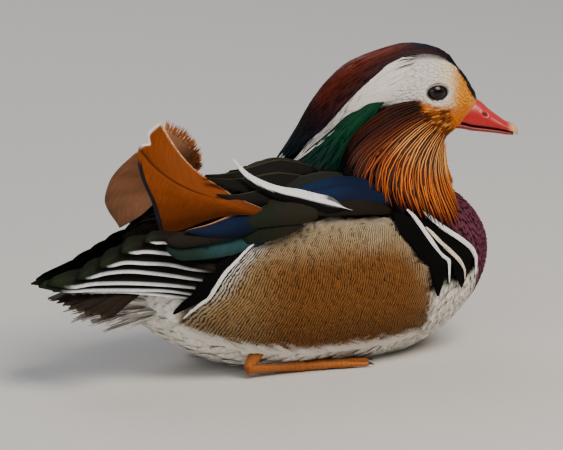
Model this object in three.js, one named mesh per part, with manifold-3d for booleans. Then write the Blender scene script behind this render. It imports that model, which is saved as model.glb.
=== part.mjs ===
// A mandarin drake at rest on its belly: bill to +X, left wing to +Y, floor at Z = 0, in millimetres.
// The body, neck and head are lofts of smooth sections. Feathers, crest plumes and cheek hackles are thin
// tapered vanes that lie on those lofts, each group fused at its roots into one closed solid.
import * as THREE from "three";
import { mergeVertices } from "three/addons/utils/BufferGeometryUtils.js";
import Module from "manifold-3d";

const wasm = await Module();
wasm.setup();

// Driving dimensions
const GAP = 0.35; // clearance between pieces that touch on the real bird
const SKIN_THICK = 0.6; // thinnest vane
const BREAST_JOIN = 58; // where the breast meets the torso along X
const NECK_JOIN = 110; // height where the head meets the neck
const NECK_AXIS_X = 62; // the head turns about this upright line
const HEAD_TURN = -26 * (Math.PI / 180); // the head looks to its right
const TURN_LOW = 66; // below this height nothing turns with the head
const TURN_HIGH = 120; // above this height all turns with the head
const BODY_POWER = 2.25; // section squareness of the body
const RIGHT = -1;
const LEFT = 1;

// Body stations along X: half width, top, bottom and height of the widest line
const BODY = {
  x: [-122, -118, -108, -92, -70, -42, -12, 18, 46, 70, 90, 103, 109, 111],
  half: [3, 8, 16, 28, 39, 46.5, 50.5, 50.5, 48, 42, 32, 21.5, 13, 7],
  top: [60, 64, 71, 80, 88, 94, 98, 99.5, 98, 93, 84, 72, 63, 58],
  bottom: [54, 49, 38, 24, 10, -0.5, -4, -4, -2.5, 4, 16, 29, 39, 45],
  widest: [57, 56, 55, 53, 50, 48, 47, 47, 47, 48, 49, 50, 51, 51.5],
};

// Head and neck stations by height: front, back and half width, measured from the neck axis
const HEAD = {
  z: [60, 70, 80, 90, 101, 108, 114, 117, 122, 128, 133, 141, 149, 154, 158, 160],
  front: [34, 34.5, 31, 25.5, 22.5, 23, 25, 28.5, 35, 40, 42, 38.5, 33.5, 28.5, 21, 14],
  back: [-44, -46, -46, -43, -40, -38, -36, -35.5, -35, -34, -33, -30, -26, -20, -13, -6],
  half: [34, 35, 33, 28.5, 24, 22.5, 21.5, 21, 20.5, 20, 20, 19, 15.5, 11.5, 7.5, 4],
};

// The crest's upper line seen from the side, as forward reach and height, and its radius along that line
const CREST_LINE = [
  [33, 154], [21, 161.8], [11.3, 164.3], [2, 164.6], [-9, 161.8], [-18, 158.5],
  [-27.4, 154.5], [-38, 145.5], [-48, 132.5], [-56, 118.5], [-63, 108], [-70, 100.5],
];
const CREST_RADIUS = { t: [0, 0.12, 0.28, 0.5, 0.7, 0.85, 1], r: [6, 12, 17, 20, 20, 17, 11] };
const CREST = {
  locks: 9, spread: 104, width: 11.6, layer: 0.7, sink: 0.5,
  core: [0.06, 0.58], coreDepth: 1.4, coreRings: 5, coreSides: 10,
};

const MATERIALS = {
  belly: finish(0xe9e2d4, 0.85),
  breast: finish(0x4a1f2c, 0.7),
  flank: finish(0xa9814d, 0.75),
  face: finish(0xe8e3da, 0.8),
  crest: finish(0x6d2a1a, 0.5),
  nape: finish(0x12402c, 0.45),
  hackle: finish(0xc4672a, 0.65),
  bill: finish(0xc4343a, 0.35),
  eye: finish(0x140d0b, 0.05),
  olive: finish(0x3f3a2c, 0.6),
  wing: finish(0x4a4334, 0.65),
  speculum: finish(0x2f5a58, 0.45),
  sail: finish(0xc2601c, 0.6),
  bar: finish(0xf4f1ea, 0.75),
  leg: finish(0xd98a2c, 0.55),
};

function finish(colour, roughness) {
  return new THREE.MeshStandardMaterial({ color: colour, roughness, metalness: 0 });
}

// Smooth curve through stations that never overshoots them.
function track(xs, ys) {
  const n = xs.length;
  const slope = xs.slice(1).map((x, i) => (ys[i + 1] - ys[i]) / (x - xs[i]));
  const tangent = xs.map((x, i) => {
    if (i === 0) return slope[0];
    if (i === n - 1) return slope[n - 2];
    const product = slope[i - 1] * slope[i];
    return product <= 0 ? 0 : (2 * product) / (slope[i - 1] + slope[i]);
  });
  return (x) => {
    if (x <= xs[0]) return ys[0];
    if (x >= xs[n - 1]) return ys[n - 1];
    const i = xs.findIndex((station) => station > x) - 1;
    const h = xs[i + 1] - xs[i];
    const t = (x - xs[i]) / h;
    const rise = t * t * (3 - 2 * t);
    return (
      ys[i] * (1 - rise) +
      ys[i + 1] * rise +
      h * (t * (1 - t) * (1 - t) * tangent[i] - t * t * (1 - t) * tangent[i + 1])
    );
  };
}

function smoothstep(low, high, value) {
  const t = Math.min(1, Math.max(0, (value - low) / (high - low)));
  return t * t * (3 - 2 * t);
}

const mix = (a, b, t) => a + (b - a) * t;
const degrees = (value) => (value * Math.PI) / 180;
const vec = (x, y, z) => new THREE.Vector3(x, y, z);

// Seeded numbers from 0 to 1, so that each build is the same.
let seed = 7;
function random() {
  seed = (seed * 16807) % 2147483647;
  return seed / 2147483647;
}

const bodyHalf = track(BODY.x, BODY.half);
const bodyTop = track(BODY.x, BODY.top);
const bodyBottom = track(BODY.x, BODY.bottom);
const bodyWidest = track(BODY.x, BODY.widest);

// Point of the body's surface at x. Angle 0 is the belly, a quarter turn the side, a half turn the back.
function bodyPoint(x, angle, side = LEFT, offset = 0) {
  const s = Math.sin(angle);
  const c = Math.cos(angle);
  const e = 2 / BODY_POWER;
  const half = bodyHalf(x) + offset;
  const z0 = bodyWidest(x);
  const reach = c > 0 ? z0 - bodyBottom(x) + offset : bodyTop(x) - z0 + offset;
  const y = side * half * Math.sign(s) * Math.abs(s) ** e;
  const z = z0 - Math.sign(c) * reach * Math.abs(c) ** e;
  return vec(x, y, Math.max(z, 0));
}

// Turns a point given from the neck axis with the head.
function turned(a, b, z) {
  const angle = HEAD_TURN * smoothstep(TURN_LOW, TURN_HIGH, z);
  const c = Math.cos(angle);
  const s = Math.sin(angle);
  return vec(NECK_AXIS_X + a * c - b * s, a * s + b * c, z);
}

const headFront = track(HEAD.z, HEAD.front);
const headBack = track(HEAD.z, HEAD.back);
const headHalf = track(HEAD.z, HEAD.half);

// Point of the head and neck at height z. Angle 0 is the front, a quarter turn the left side.
function headPoint(z, angle, offset = 0) {
  const c = Math.cos(angle);
  const reach = c > 0 ? headFront(z) + offset : -headBack(z) + offset;
  return turned(reach * c, (headHalf(z) + offset) * Math.sin(angle), z);
}

const crestPlaces = CREST_LINE.map(([a, z]) => vec(a, 0, z));
const crestLine = new THREE.CatmullRomCurve3(crestPlaces, false, "centripetal");
const crestRadius = track(CREST_RADIUS.t, CREST_RADIUS.r);

// Point of the crest at t along its upper line and an angle round it, from straight up.
function crestPoint(t, angle, offset = 0) {
  const top = crestLine.getPointAt(t);
  const along = crestLine.getTangentAt(t);
  const up = vec(along.z, 0, -along.x);
  if (up.z < 0) up.negate();
  const radius = crestRadius(t);
  const at = top.clone().addScaledVector(up, (radius + offset) * Math.cos(angle) - radius);
  return turned(at.x, (radius + offset) * Math.sin(angle), at.z);
}

// Closed solid from a list of points and triangles.
function solid(points, triangles) {
  const geometry = new THREE.BufferGeometry();
  const numbers = points.flatMap((p) => [p.x, p.y, p.z]);
  geometry.setAttribute("position", new THREE.Float32BufferAttribute(numbers, 3));
  geometry.setIndex(triangles.flat());
  return manifoldOf(geometry);
}

function manifoldOf(geometry) {
  const bare = geometry.clone();
  bare.deleteAttribute("normal");
  bare.deleteAttribute("uv");
  const merged = mergeVertices(bare, 1e-4);
  return new wasm.Manifold(
    new wasm.Mesh({
      numProp: 3,
      vertProperties: new Float32Array(merged.attributes.position.array),
      triVerts: new Uint32Array(merged.index.array),
    }),
  );
}

// Solid through closed rings of points, with a fan over each end.
function loft(rings) {
  const n = rings[0].length;
  const points = rings.flat();
  const triangles = [];
  for (let i = 0; i + 1 < rings.length; i++)
    for (let j = 0; j < n; j++) {
      const k = (j + 1) % n;
      const a = i * n + j;
      const b = i * n + k;
      triangles.push([a, b, b + n], [a, b + n, a + n]);
    }
  const middle = (ring) => ring.reduce((sum, p) => sum.clone().add(p), vec(0, 0, 0)).divideScalar(n);
  points.push(middle(rings[0]), middle(rings[rings.length - 1]));
  const first = points.length - 2;
  const last = (rings.length - 1) * n;
  for (let j = 0; j < n; j++) {
    const k = (j + 1) % n;
    triangles.push([first, k, j], [first + 1, last + j, last + k]);
  }
  return outward(points, triangles);
}

// Solid between an outer and an inner grid of points, split alike on both faces.
function slab(outer, inner) {
  const rows = outer.length;
  const columns = outer[0].length;
  const points = [...outer.flat(), ...inner.flat()];
  const under = rows * columns;
  const at = (i, j) => i * columns + j;
  const triangles = [];
  for (let i = 0; i + 1 < rows; i++)
    for (let j = 0; j + 1 < columns; j++) {
      const quad = [at(i, j), at(i + 1, j), at(i + 1, j + 1), at(i, j + 1)];
      triangles.push([quad[0], quad[1], quad[2]], [quad[0], quad[2], quad[3]]);
      const below = quad.map((q) => q + under);
      triangles.push([below[0], below[2], below[1]], [below[0], below[3], below[2]]);
    }
  const rim = [];
  for (let j = 0; j < columns; j++) rim.push(at(0, j));
  for (let i = 1; i < rows; i++) rim.push(at(i, columns - 1));
  for (let j = columns - 2; j >= 0; j--) rim.push(at(rows - 1, j));
  for (let i = rows - 2; i > 0; i--) rim.push(at(i, 0));
  rim.forEach((a, k) => {
    const b = rim[(k + 1) % rim.length];
    triangles.push([a, b, b + under], [a, b + under, a + under]);
  });
  return outward(points, triangles);
}

function outward(points, triangles) {
  const made = solid(points, triangles);
  if (made.volume() > 0) return made;
  return solid(points, triangles.map(([a, b, c]) => [a, c, b]));
}

function fuse(pieces) {
  return largest(wasm.Manifold.union(pieces));
}

function largest(shape) {
  return shape.decompose().reduce((best, piece) => (piece.volume() > best.volume() ? piece : best));
}

function carve(shape, neighbours) {
  return largest(neighbours.reduce((left, other) => left.subtract(other), shape));
}

// A feather: a thin vane along a bent shaft. "out" is the way its outer face looks, or a function of the
// place along the shaft. shape 1 is pointed at the tip and 3 is round; cup bends both webs inwards; the
// vane widens from root times its width to all of it at peak.
const FEATHER = { shape: 2, cup: 1, thick: SKIN_THICK, grow: 0, rows: 6, root: 0.5, peak: 0.4 };
const TIP_CROWDING = 1.25; // rows stand closer together towards the tip
const TAPER_POWER = 0.62;
const NARROWEST = 0.4;

function feather(options) {
  const { path, out, width, shape, cup, thick, grow, rows, root, peak } = { ...FEATHER, ...options };
  const curve = new THREE.CatmullRomCurve3(path, false, "centripetal");
  const outer = [];
  const inner = [];
  for (let i = 0; i < rows; i++) {
    const t = 1 - (1 - i / (rows - 1)) ** TIP_CROWDING;
    const along = curve.getTangent(t);
    const across = along.clone().cross(typeof out === "function" ? out(t) : out).normalize();
    const normal = across.clone().cross(along).normalize();
    const swell = mix(root, 1, smoothstep(0, peak, t));
    const taper = (1 - t ** (shape * 1.6)) ** TAPER_POWER;
    const half = Math.max((width / 2) * swell * taper, NARROWEST) + grow;
    const centre = curve.getPoint(t);
    if (i === 0) centre.addScaledVector(along, -grow);
    if (i === rows - 1) centre.addScaledVector(along, grow);
    const row = (lift) =>
      [-1, 0, 1].map((k) => {
        const drop = k ? cup * Math.min(1, half / (width / 2)) : 0;
        return centre.clone().addScaledVector(across, k * half).addScaledVector(normal, lift - drop);
      });
    outer.push(row(thick / 2 + grow));
    inner.push(row(-thick / 2 - grow));
  }
  return slab(outer, inner);
}

// Rings of the body loft between two places along X.
function bodyRings(from, to, count, grow = 0) {
  const rings = [];
  for (let i = 0; i < count; i++) {
    const t = (1 - Math.cos((Math.PI * i) / (count - 1))) / 2;
    const x = mix(from, to, mix(i / (count - 1), t, 0.5));
    const ring = [];
    for (let j = 0; j < BODY_SIDES; j++) ring.push(bodyPoint(x, (2 * Math.PI * j) / BODY_SIDES, LEFT, grow));
    if (grow) ring.forEach((p) => (p.x += i === 0 ? -grow : i === count - 1 ? grow : 0));
    rings.push(ring);
  }
  return rings;
}

const BODY_SIDES = 24;
const TORSO_RINGS = 13;
const BREAST_RINGS = 9;
const torso = (grow = 0) => loft(bodyRings(BODY.x[0], BREAST_JOIN, TORSO_RINGS, grow));
const breast = (grow = 0) => loft(bodyRings(BREAST_JOIN + GAP, BODY.x.at(-1), BREAST_RINGS, grow));

// Rings of the head and neck between two heights.
function heightRings(from, to, count, grow = 0) {
  const rings = [];
  for (let i = 0; i < count; i++) {
    const z = mix(from, to, i / (count - 1));
    const ring = [];
    for (let j = 0; j < HEAD_SIDES; j++) ring.push(headPoint(z, (2 * Math.PI * j) / HEAD_SIDES, grow));
    if (grow) ring.forEach((p) => (p.z += i === 0 ? -grow : i === count - 1 ? grow : 0));
    rings.push(ring);
  }
  return rings;
}

const HEAD_SIDES = 18;
const NECK_RINGS = 6;
const HEAD_RINGS = 11;
const neckMass = (grow = 0) => loft(heightRings(HEAD.z[0], NECK_JOIN - GAP, NECK_RINGS, grow));
const headMass = (grow = 0) => loft(heightRings(NECK_JOIN, HEAD.z.at(-1), HEAD_RINGS, grow));

// The crest: long narrow locks over a core that ends half way to their tips.
function crest(grow = 0) {
  const rings = [];
  const [from, to] = CREST.core;
  for (let i = 0; i < CREST.coreRings; i++) {
    const t = mix(from, to, i / (CREST.coreRings - 1));
    const ring = [];
    for (let j = 0; j < CREST.coreSides; j++)
      ring.push(crestPoint(t, (2 * Math.PI * j) / CREST.coreSides, grow - CREST.coreDepth));
    rings.push(ring);
  }
  const pieces = [loft(rings)];
  for (let i = 0; i < CREST.locks; i++) {
    const across = (2 * i) / (CREST.locks - 1) - 1;
    const angle = across * degrees(CREST.spread);
    const start = mix(0.03, 0.3, Math.abs(across) ** 1.2);
    const end = 1 - 0.24 * Math.abs(across) ** 1.5 - 0.05 * random();
    const place = (u) => mix(start, end, u);
    const lift = (u) => mix(-CREST.sink, 0, smoothstep(0, 0.3, u)) - CREST.layer * (i % 2);
    pieces.push(
      feather({
        path: [0, 0.15, 0.4, 0.65, 0.85, 1].map((u) => crestPoint(place(u), angle, lift(u))),
        out: (u) => crestPoint(place(u), angle, 5).sub(crestPoint(place(u), angle, 0)),
        width: CREST.width,
        shape: 1.9,
        cup: 0.5,
        rows: 6,
        root: 0.4,
        peak: 0.55,
        grow,
      }),
    );
  }
  return fuse(pieces);
}

const group = new THREE.Group();

function add(name, shape, material) {
  const mesh = shape.getMesh();
  const geometry = new THREE.BufferGeometry();
  geometry.setAttribute("position", new THREE.BufferAttribute(new Float32Array(mesh.vertProperties), 3));
  geometry.setIndex(new THREE.BufferAttribute(new Uint32Array(mesh.triVerts), 1));
  geometry.computeVertexNormals();
  const made = new THREE.Mesh(geometry, material);
  made.name = name;
  group.add(made);
}

// A shell that lies on a surface between two edges, with its inner face sunk a little below the surface.
const SHELL_SINK = 1.2;
const SHELL_GIRTH = 45; // radius at which the gap is turned into an angle

function shell(point, { from, to, low, high, thick, rows, columns = 5, grow = 0 }) {
  const outer = [];
  const inner = [];
  for (let i = 0; i < rows; i++) {
    const t = i / (rows - 1);
    const along = mix(from, to, t) + (i === 0 ? -grow : i === rows - 1 ? grow : 0);
    const outerRow = [];
    const innerRow = [];
    for (let j = 0; j < columns; j++) {
      const s = j / (columns - 1);
      const spread = (j === 0 ? -grow : j === columns - 1 ? grow : 0) / SHELL_GIRTH;
      const angle = mix(low(along), high(along), s) + spread;
      outerRow.push(point(along, angle, thick(t, s) + grow));
      innerRow.push(point(along, angle, -SHELL_SINK));
    }
    outer.push(outerRow);
    inner.push(innerRow);
  }
  return slab(outer, inner);
}

// Thickness of a shell: thin at its edges, full over its middle
const SHELL_EDGE = 0.8;
const EDGE_SLOPE = 3.2;
const ramp = (t) => Math.min(1, EDGE_SLOPE * Math.min(t, 1 - t));
const pillow = (full) => (t, s) => SHELL_EDGE + (full - SHELL_EDGE) * Math.sqrt(ramp(t) * ramp(s));

// Flank: its top edge runs under the folded wing, its rear edge slants down and back
const flankTop = track(
  [-84, -78, -70, -62, -52, -37, 5, 18, 33, 60],
  [80, 90, 102, 112, 121, 127, 128, 123, 119, 92],
);
const FLANK = { from: -84, to: 58, low: 52, thick: 3.4 };

// Long side feathers that end along the flank's rear edge: place along X and angle of each root
const PLUMES = {
  from: [-30, 115], to: [-58, 79], count: 4, length: 24, width: 17,
  lift: { root: 2.2, tip: 3.6 },
};

function flank(side, grow = 0) {
  const pieces = [
    shell((x, angle, offset) => bodyPoint(x, angle, side, offset), {
      from: FLANK.from,
      to: FLANK.to,
      low: () => degrees(FLANK.low),
      high: (x) => degrees(flankTop(x)),
      thick: pillow(FLANK.thick),
      rows: 10,
      grow,
    }),
  ];
  for (let i = 0; i < PLUMES.count; i++) {
    const u = i / (PLUMES.count - 1);
    pieces.push(
      lying({
        from: mix(PLUMES.from[0], PLUMES.to[0], u),
        length: PLUMES.length,
        angle: mix(PLUMES.from[1], PLUMES.to[1], u),
        side,
        lift: PLUMES.lift,
        width: PLUMES.width,
        shape: 2,
        rows: 4,
        root: 0.7,
        grow,
      }),
    );
  }
  return fuse(pieces);
}

// Folded wing
const wingLow = track([-92, -70, -37, 5, 40], [118, 122, 127, 128, 124]);
const WING = { from: -88, to: 35, high: 170, thick: 2.6 };

// Tiers of the folded wing: the first feather's place along X, the spacing, how many, the angle round the
// body and the size of each feather. All point to the rear and lap over the next one.
const WING_TIERS = [
  { first: 29, step: 21, count: 4, angle: 161, length: 40, width: 16 },
  { first: 36, step: 21, count: 4, angle: 147, length: 38, width: 15 },
  { first: 33, step: 24, count: 4, angle: 136, length: 38, width: 11 },
];
const TIER_LIFT = { root: 0.9, tip: 5.6 };

// A feather that lies along the body at one angle, lifting from its root to its tip.
function lying({ from, length, angle, side = LEFT, lift, turn = 0, ...rest }) {
  const at = (t, more = 0) => {
    const x = from - length * t;
    const height = mix(lift.root, lift.tip, t ** 0.7) + more;
    return bodyPoint(x, degrees(angle + turn * t), side, height);
  };
  return feather({ path: [0, 0.33, 0.66, 1].map((t) => at(t)), out: (t) => at(t, 5).sub(at(t)), ...rest });
}

function wing(side, grow = 0) {
  const core = shell((x, angle, offset) => bodyPoint(x, angle, side, offset), {
    from: WING.from,
    to: WING.to,
    low: (x) => degrees(wingLow(x) + 1),
    high: () => degrees(WING.high),
    thick: pillow(WING.thick),
    rows: 8,
    grow,
  });
  const feathers = WING_TIERS.flatMap((tier) => {
    const list = [];
    for (let i = 0; i < tier.count; i++)
      list.push(
        lying({
          from: tier.first - i * tier.step,
          length: tier.length * (0.96 + 0.08 * random()),
          angle: tier.angle + random() - 0.5,
          side,
          lift: TIER_LIFT,
          width: tier.width,
          shape: 2.6,
          cup: 1.2,
          rows: 4,
          root: 0.7,
          grow,
        }),
      );
    return list;
  });
  return fuse([core, ...feathers]);
}

const sided = (side, x, y, z) => vec(x, side * y, z);

// A stack of long feathers, from the outermost short one to the innermost long one. Roots and tips run
// along two lines, the vanes keep clear of one another beyond the root, and a lozenge binds the roots.
function stack(side, { root, tip, count, pitch, bend, vane }, grow) {
  const out = sided(side, 0.05, 0.87, 0.5).normalize();
  const line = (list) => new THREE.CatmullRomCurve3(list.map(([x, y, z]) => sided(side, x, y, z)));
  const [roots, tips] = [line(root), line(tip)];
  const list = [rootOf(side, root, out, pitch * count, grow)];
  for (let i = 0; i < count; i++) {
    const u = i / (count - 1);
    const shift = out.clone().multiplyScalar(pitch * ((count - 1) / 2 - i));
    const start = roots.getPoint(u).add(shift);
    const end = tips.getPoint(u).add(shift);
    const path = [0, 0.35, 0.7, 1].map((t) =>
      start.clone().lerp(end, t).addScaledVector(out, bend * Math.sin(Math.PI * t)),
    );
    list.push(feather({ path, out, grow, ...vane }));
  }
  return list;
}

const SECONDARIES = {
  root: [[-46, 43.5, 84], [-50, 44.5, 80], [-56, 45, 75]],
  tip: [[-104, 31, 86], [-106, 32, 80], [-103, 35, 73]],
  count: 4, pitch: 0.9, bend: 2.5,
  vane: { width: 11, shape: 2.6, cup: 0.8, rows: 5 },
};

function secondaries(side, grow = 0) {
  return fuse(stack(side, SECONDARIES, grow));
}

// A lozenge of flesh and small feathers that binds the roots of a stack.
const LOZENGE = { length: 6, back: 3, overhang: 4, depth: 0.62, rings: [-1, -0.55, 0, 0.55, 1], sides: 8 };

function rootOf(side, root, out, depth, grow) {
  const ends = [root[0], root.at(-1)].map(([x, y, z]) => sided(side, x, y, z));
  const down = ends[1].clone().sub(ends[0]).normalize();
  const ahead = down.clone().cross(out).normalize();
  if (ahead.x < 0) ahead.negate();
  const half = ends[0].distanceTo(ends[1]) / 2 + LOZENGE.overhang + grow;
  const centre = ends[0].clone().add(ends[1]).multiplyScalar(0.5).addScaledVector(ahead, -LOZENGE.back);
  const rings = LOZENGE.rings.map((t) => {
    const size = Math.sqrt(Math.max(1 - t * t, 0.03));
    const ring = [];
    for (let j = 0; j < LOZENGE.sides; j++) {
      const angle = (2 * Math.PI * j) / LOZENGE.sides;
      ring.push(
        centre
          .clone()
          .addScaledVector(down, t * half)
          .addScaledVector(ahead, Math.cos(angle) * (LOZENGE.length * size + grow))
          .addScaledVector(out, Math.sin(angle) * (depth * LOZENGE.depth * size + grow)),
      );
    }
    return ring;
  });
  return loft(rings);
}

const PRIMARIES = {
  root: [[-72, 43, 74], [-77, 41.5, 67], [-81, 39.5, 60], [-85, 37, 53]],
  tip: [[-121, 28, 77], [-132, 22.5, 72], [-144, 16, 63], [-155, 11, 59], [-163, 8, 57]],
  count: 6, pitch: 0.9, bend: 3.5,
  vane: { width: 10.5, shape: 1.5, cup: 0.9, rows: 5 },
};

function primaries(side, grow = 0) {
  return fuse(stack(side, PRIMARIES, grow));
}

// The long pointed scapular, which curves up over the sail's foot
function scapular(side, grow = 0) {
  const places = [[2, 41, 89.5], [-7.5, 42, 92.5], [-27, 35.5, 99.5], [-42, 31, 107.5], [-58, 26, 119]];
  return feather({
    path: places.map(([x, y, z]) => sided(side, x, y, z)),
    out: (t) => sided(side, 0.2 * t, 1, mix(1.1, 0.6, t)),
    width: 9.5,
    shape: 1,
    thick: 0.9,
    cup: 0.8,
    rows: 8,
    root: 0.9,
    grow,
  });
}

// A sail is one very broad wing feather that stands up over the back.
const SAILS = {
  right: {
    front: [
      [-47.5, 40, 93], [-60.6, 32, 99.8], [-70, 26, 107], [-75.5, 22, 111.7],
      [-81, 18, 118.4], [-87, 14, 128.5], [-93.6, 14, 139.7],
    ],
    lower: [
      [-46, 41, 88], [-58, 38, 90], [-66.9, 34, 89.5],
      [-77.6, 30, 86.5], [-89, 26, 82.4], [-99, 23, 81],
    ],
    rear: [
      [-93.6, 14, 139.7], [-103.5, 14.5, 133], [-108.6, 15, 122],
      [-107.6, 17, 112], [-102.7, 20, 98], [-99, 23, 81],
    ],
  },
  left: {
    front: [[-47.5, 40, 93], [-49, 30, 99], [-54, 21, 109], [-60, 15, 118], [-66, 13.5, 124], [-76, 13, 129]],
    lower: [[-46, 41, 88], [-58, 38, 89], [-70, 33, 86], [-84, 27, 80], [-98.5, 23, 76]],
    rear: [
      [-76, 13, 129], [-86, 12, 124], [-97, 13, 115.5],
      [-106.5, 15, 106], [-110, 17, 95], [-98.5, 23, 76],
    ],
  },
};
const SAIL = { thick: 0.7, camber: 3, rows: 8, columns: 7, inset: 0.01 };

// The sheet between a sail's front, lower and rear edges: s runs from lower to front, t from root to rear.
function sheetOf(side, edges) {
  const [front, lower, rear] = [edges.front, edges.lower, edges.rear].map((list) => {
    const places = list.map(([x, y, z]) => sided(side, x, y, z));
    return new THREE.CatmullRomCurve3(places, false, "centripetal");
  });
  return (s, t) => {
    const rootEnd = lower.getPointAt(0).lerp(front.getPointAt(0), s);
    const rearEnd = lower.getPointAt(1).lerp(front.getPointAt(1), s);
    const between = lower.getPointAt(t).lerp(front.getPointAt(t), s);
    const ends = rootEnd.clone().lerp(rear.getPointAt(1 - s), t);
    const bulge = SAIL.camber * Math.sin(Math.PI * s) * Math.sin(Math.PI * Math.min(1, t * 0.9));
    return between.add(ends).sub(rootEnd.lerp(rearEnd, t)).add(sided(side, 0, bulge, 0));
  };
}

function sail(side, grow = 0) {
  const place = sheetOf(side, side === RIGHT ? SAILS.right : SAILS.left);
  const { rows, columns, inset } = SAIL;
  const outer = [];
  const inner = [];
  for (let i = 0; i < rows; i++) {
    const outerRow = [];
    const innerRow = [];
    for (let j = 0; j < columns; j++) {
      const s = mix(inset, 1 - inset, j / (columns - 1));
      const t = mix(inset, 1 - inset, i / (rows - 1));
      const across = place(s + inset, t).sub(place(s - inset, t));
      const along = place(s, t + inset).sub(place(s, t - inset));
      const normal = across.clone().cross(along).normalize();
      if (normal.y * side < 0) normal.negate();
      const edge = vec(0, 0, 0);
      if (j === 0 || j === columns - 1) edge.addScaledVector(across.normalize(), j ? grow : -grow);
      if (i === 0 || i === rows - 1) edge.addScaledVector(along.normalize(), i ? grow : -grow);
      const middle = place(s, t).add(edge);
      outerRow.push(middle.clone().addScaledVector(normal, SAIL.thick / 2 + grow));
      innerRow.push(middle.clone().addScaledVector(normal, -SAIL.thick / 2 - grow));
    }
    outer.push(outerRow);
    inner.push(innerRow);
  }
  return slab(outer, inner);
}

// Tail: a shallow fan of vanes, the middle pair uppermost and the outer ones lower and drooping
const TAIL = {
  root: [-100, 0, 57], length: 54, vanes: 8, fan: 23, spread: 9,
  droop: 9, fall: 6, pitch: 0.9, arch: 1.4,
  vane: { width: 12, shape: 3, cup: 0.5, rows: 5 },
};

function tail(grow = 0) {
  const pieces = [
    feather({
      path: [vec(-92, 0, 56.5), vec(-111, 0, 55.5), vec(-130, 0, 53.5)],
      out: vec(0, 0, 1),
      width: 25,
      shape: 3,
      cup: 2.2,
      thick: 5,
      rows: 5,
      grow,
    }),
  ];
  for (let i = 0; i < TAIL.vanes; i++) {
    const u = (2 * i) / (TAIL.vanes - 1) - 1;
    const angle = u * degrees(TAIL.fan);
    const low = Math.abs(u) * ((TAIL.vanes - 1) / 2) * TAIL.pitch;
    const start = vec(TAIL.root[0] + 2 * Math.abs(u), u * TAIL.spread, TAIL.root[2] - low * 0.7);
    const reach = TAIL.length * (1 - 0.06 * u * u);
    const fall = TAIL.fall + TAIL.droop * u * u + low * 0.3;
    const end = start.clone().add(vec(-reach * Math.cos(angle), reach * Math.sin(angle), -fall));
    const middle = start.clone().lerp(end, 0.5).add(vec(0, 0, TAIL.arch));
    pieces.push(feather({ path: [start, middle, end], out: vec(0, u * 0.55, 1), grow, ...TAIL.vane }));
  }
  return fuse(pieces);
}

// Undertail: soft lobes below the tail
function undertail(grow = 0) {
  const pieces = [-1, -0.5, 0, 0.5, 1].map((u) =>
    feather({
      path: [
        vec(-88, 13 * u, 34 + 3 * u * u),
        vec(-106, 15 * u, 42),
        vec(-128 + 8 * u * u, 16 * u, 46.5 - 2 * Math.abs(u)),
      ],
      out: vec(0, u * 0.8, -1),
      width: 14,
      shape: 1.8,
      cup: 1.5,
      thick: 3.4,
      rows: 5,
      grow,
    }),
  );
  return fuse(pieces);
}

// Bill stations along the head's own forward line: ridge, cutting edge, half width
const BILL = {
  a: [29, 34, 38, 42.3, 48.8, 53.9, 57.8, 60.4, 62.6, 64],
  top: [134, 135.4, 135.2, 133.3, 127.7, 123.9, 121.2, 120.2, 118.6, 116],
  cut: [122, 121.2, 120, 119.3, 118.2, 117.2, 116.2, 115.6, 114.2, 113.6],
  half: [9.5, 9, 8.6, 8.1, 7.2, 6.5, 5.8, 4.9, 3.5, 1.4],
};
const LOWER_BILL = { a: [27, 34, 42, 50, 57, 60.6], depth: [3.2, 2.8, 2.4, 2, 1.6, 1.2], inset: 1.1 };
const BILL_SIDES = 12;
const BILL_BULGE = 2; // the upper bill's sides swell this far above and below its cutting edge
const NOSTRIL = { a: 45.2, b: 6, z: 126.6, length: 2.6, height: 1.5, depth: 2.4, slope: 28 };
const billTop = track(BILL.a, BILL.top);
const billCut = track(BILL.a, BILL.cut);
const billHalf = track(BILL.a, BILL.half);

function facing(a, b, z) {
  const c = Math.cos(HEAD_TURN);
  const s = Math.sin(HEAD_TURN);
  return vec(NECK_AXIS_X + a * c - b * s, a * s + b * c, z);
}

function upperBill(grow = 0) {
  const rings = BILL.a.map((a, i) => {
    const height = billTop(a) - billCut(a);
    const ring = [];
    for (let j = 0; j < BILL_SIDES; j++) {
      const angle = (2 * Math.PI * j) / BILL_SIDES;
      const up = Math.cos(angle);
      const lift = up > 0 ? (height - BILL_BULGE) * up ** 0.9 : 0.9 * BILL_BULGE * up;
      const b = (billHalf(a) + grow) * Math.sin(angle);
      const shift = i === BILL.a.length - 1 ? grow : 0;
      ring.push(facing(a + shift, b, billCut(a) + BILL_BULGE + lift + Math.sign(up) * grow));
    }
    return ring;
  });
  const nostrils = [LEFT, RIGHT].map((side) => {
    const pit = new THREE.SphereGeometry(1, 8, 6);
    pit.scale(NOSTRIL.length / 2, NOSTRIL.depth, NOSTRIL.height / 2);
    const at = facing(NOSTRIL.a, side * NOSTRIL.b, NOSTRIL.z);
    pit.rotateY(degrees(NOSTRIL.slope)).rotateZ(HEAD_TURN).translate(at.x, at.y, at.z);
    return manifoldOf(pit);
  });
  const beak = loft(rings);
  return grow ? beak : nostrils.reduce((left, pit) => left.subtract(pit), beak);
}

function lowerBill(grow = 0) {
  const rings = LOWER_BILL.a.map((a, i) => {
    const half = Math.max(billHalf(a) - LOWER_BILL.inset, 0.8) + grow;
    const top = billCut(a) - GAP - 0.1;
    const ring = [];
    for (let j = 0; j < BILL_SIDES; j++) {
      const angle = (2 * Math.PI * j) / BILL_SIDES;
      const up = Math.cos(angle);
      const z = up > 0 ? top + grow : top + LOWER_BILL.depth[i] * up - grow;
      ring.push(facing(a, half * Math.sin(angle), z));
    }
    return ring;
  });
  return loft(rings);
}

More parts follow.
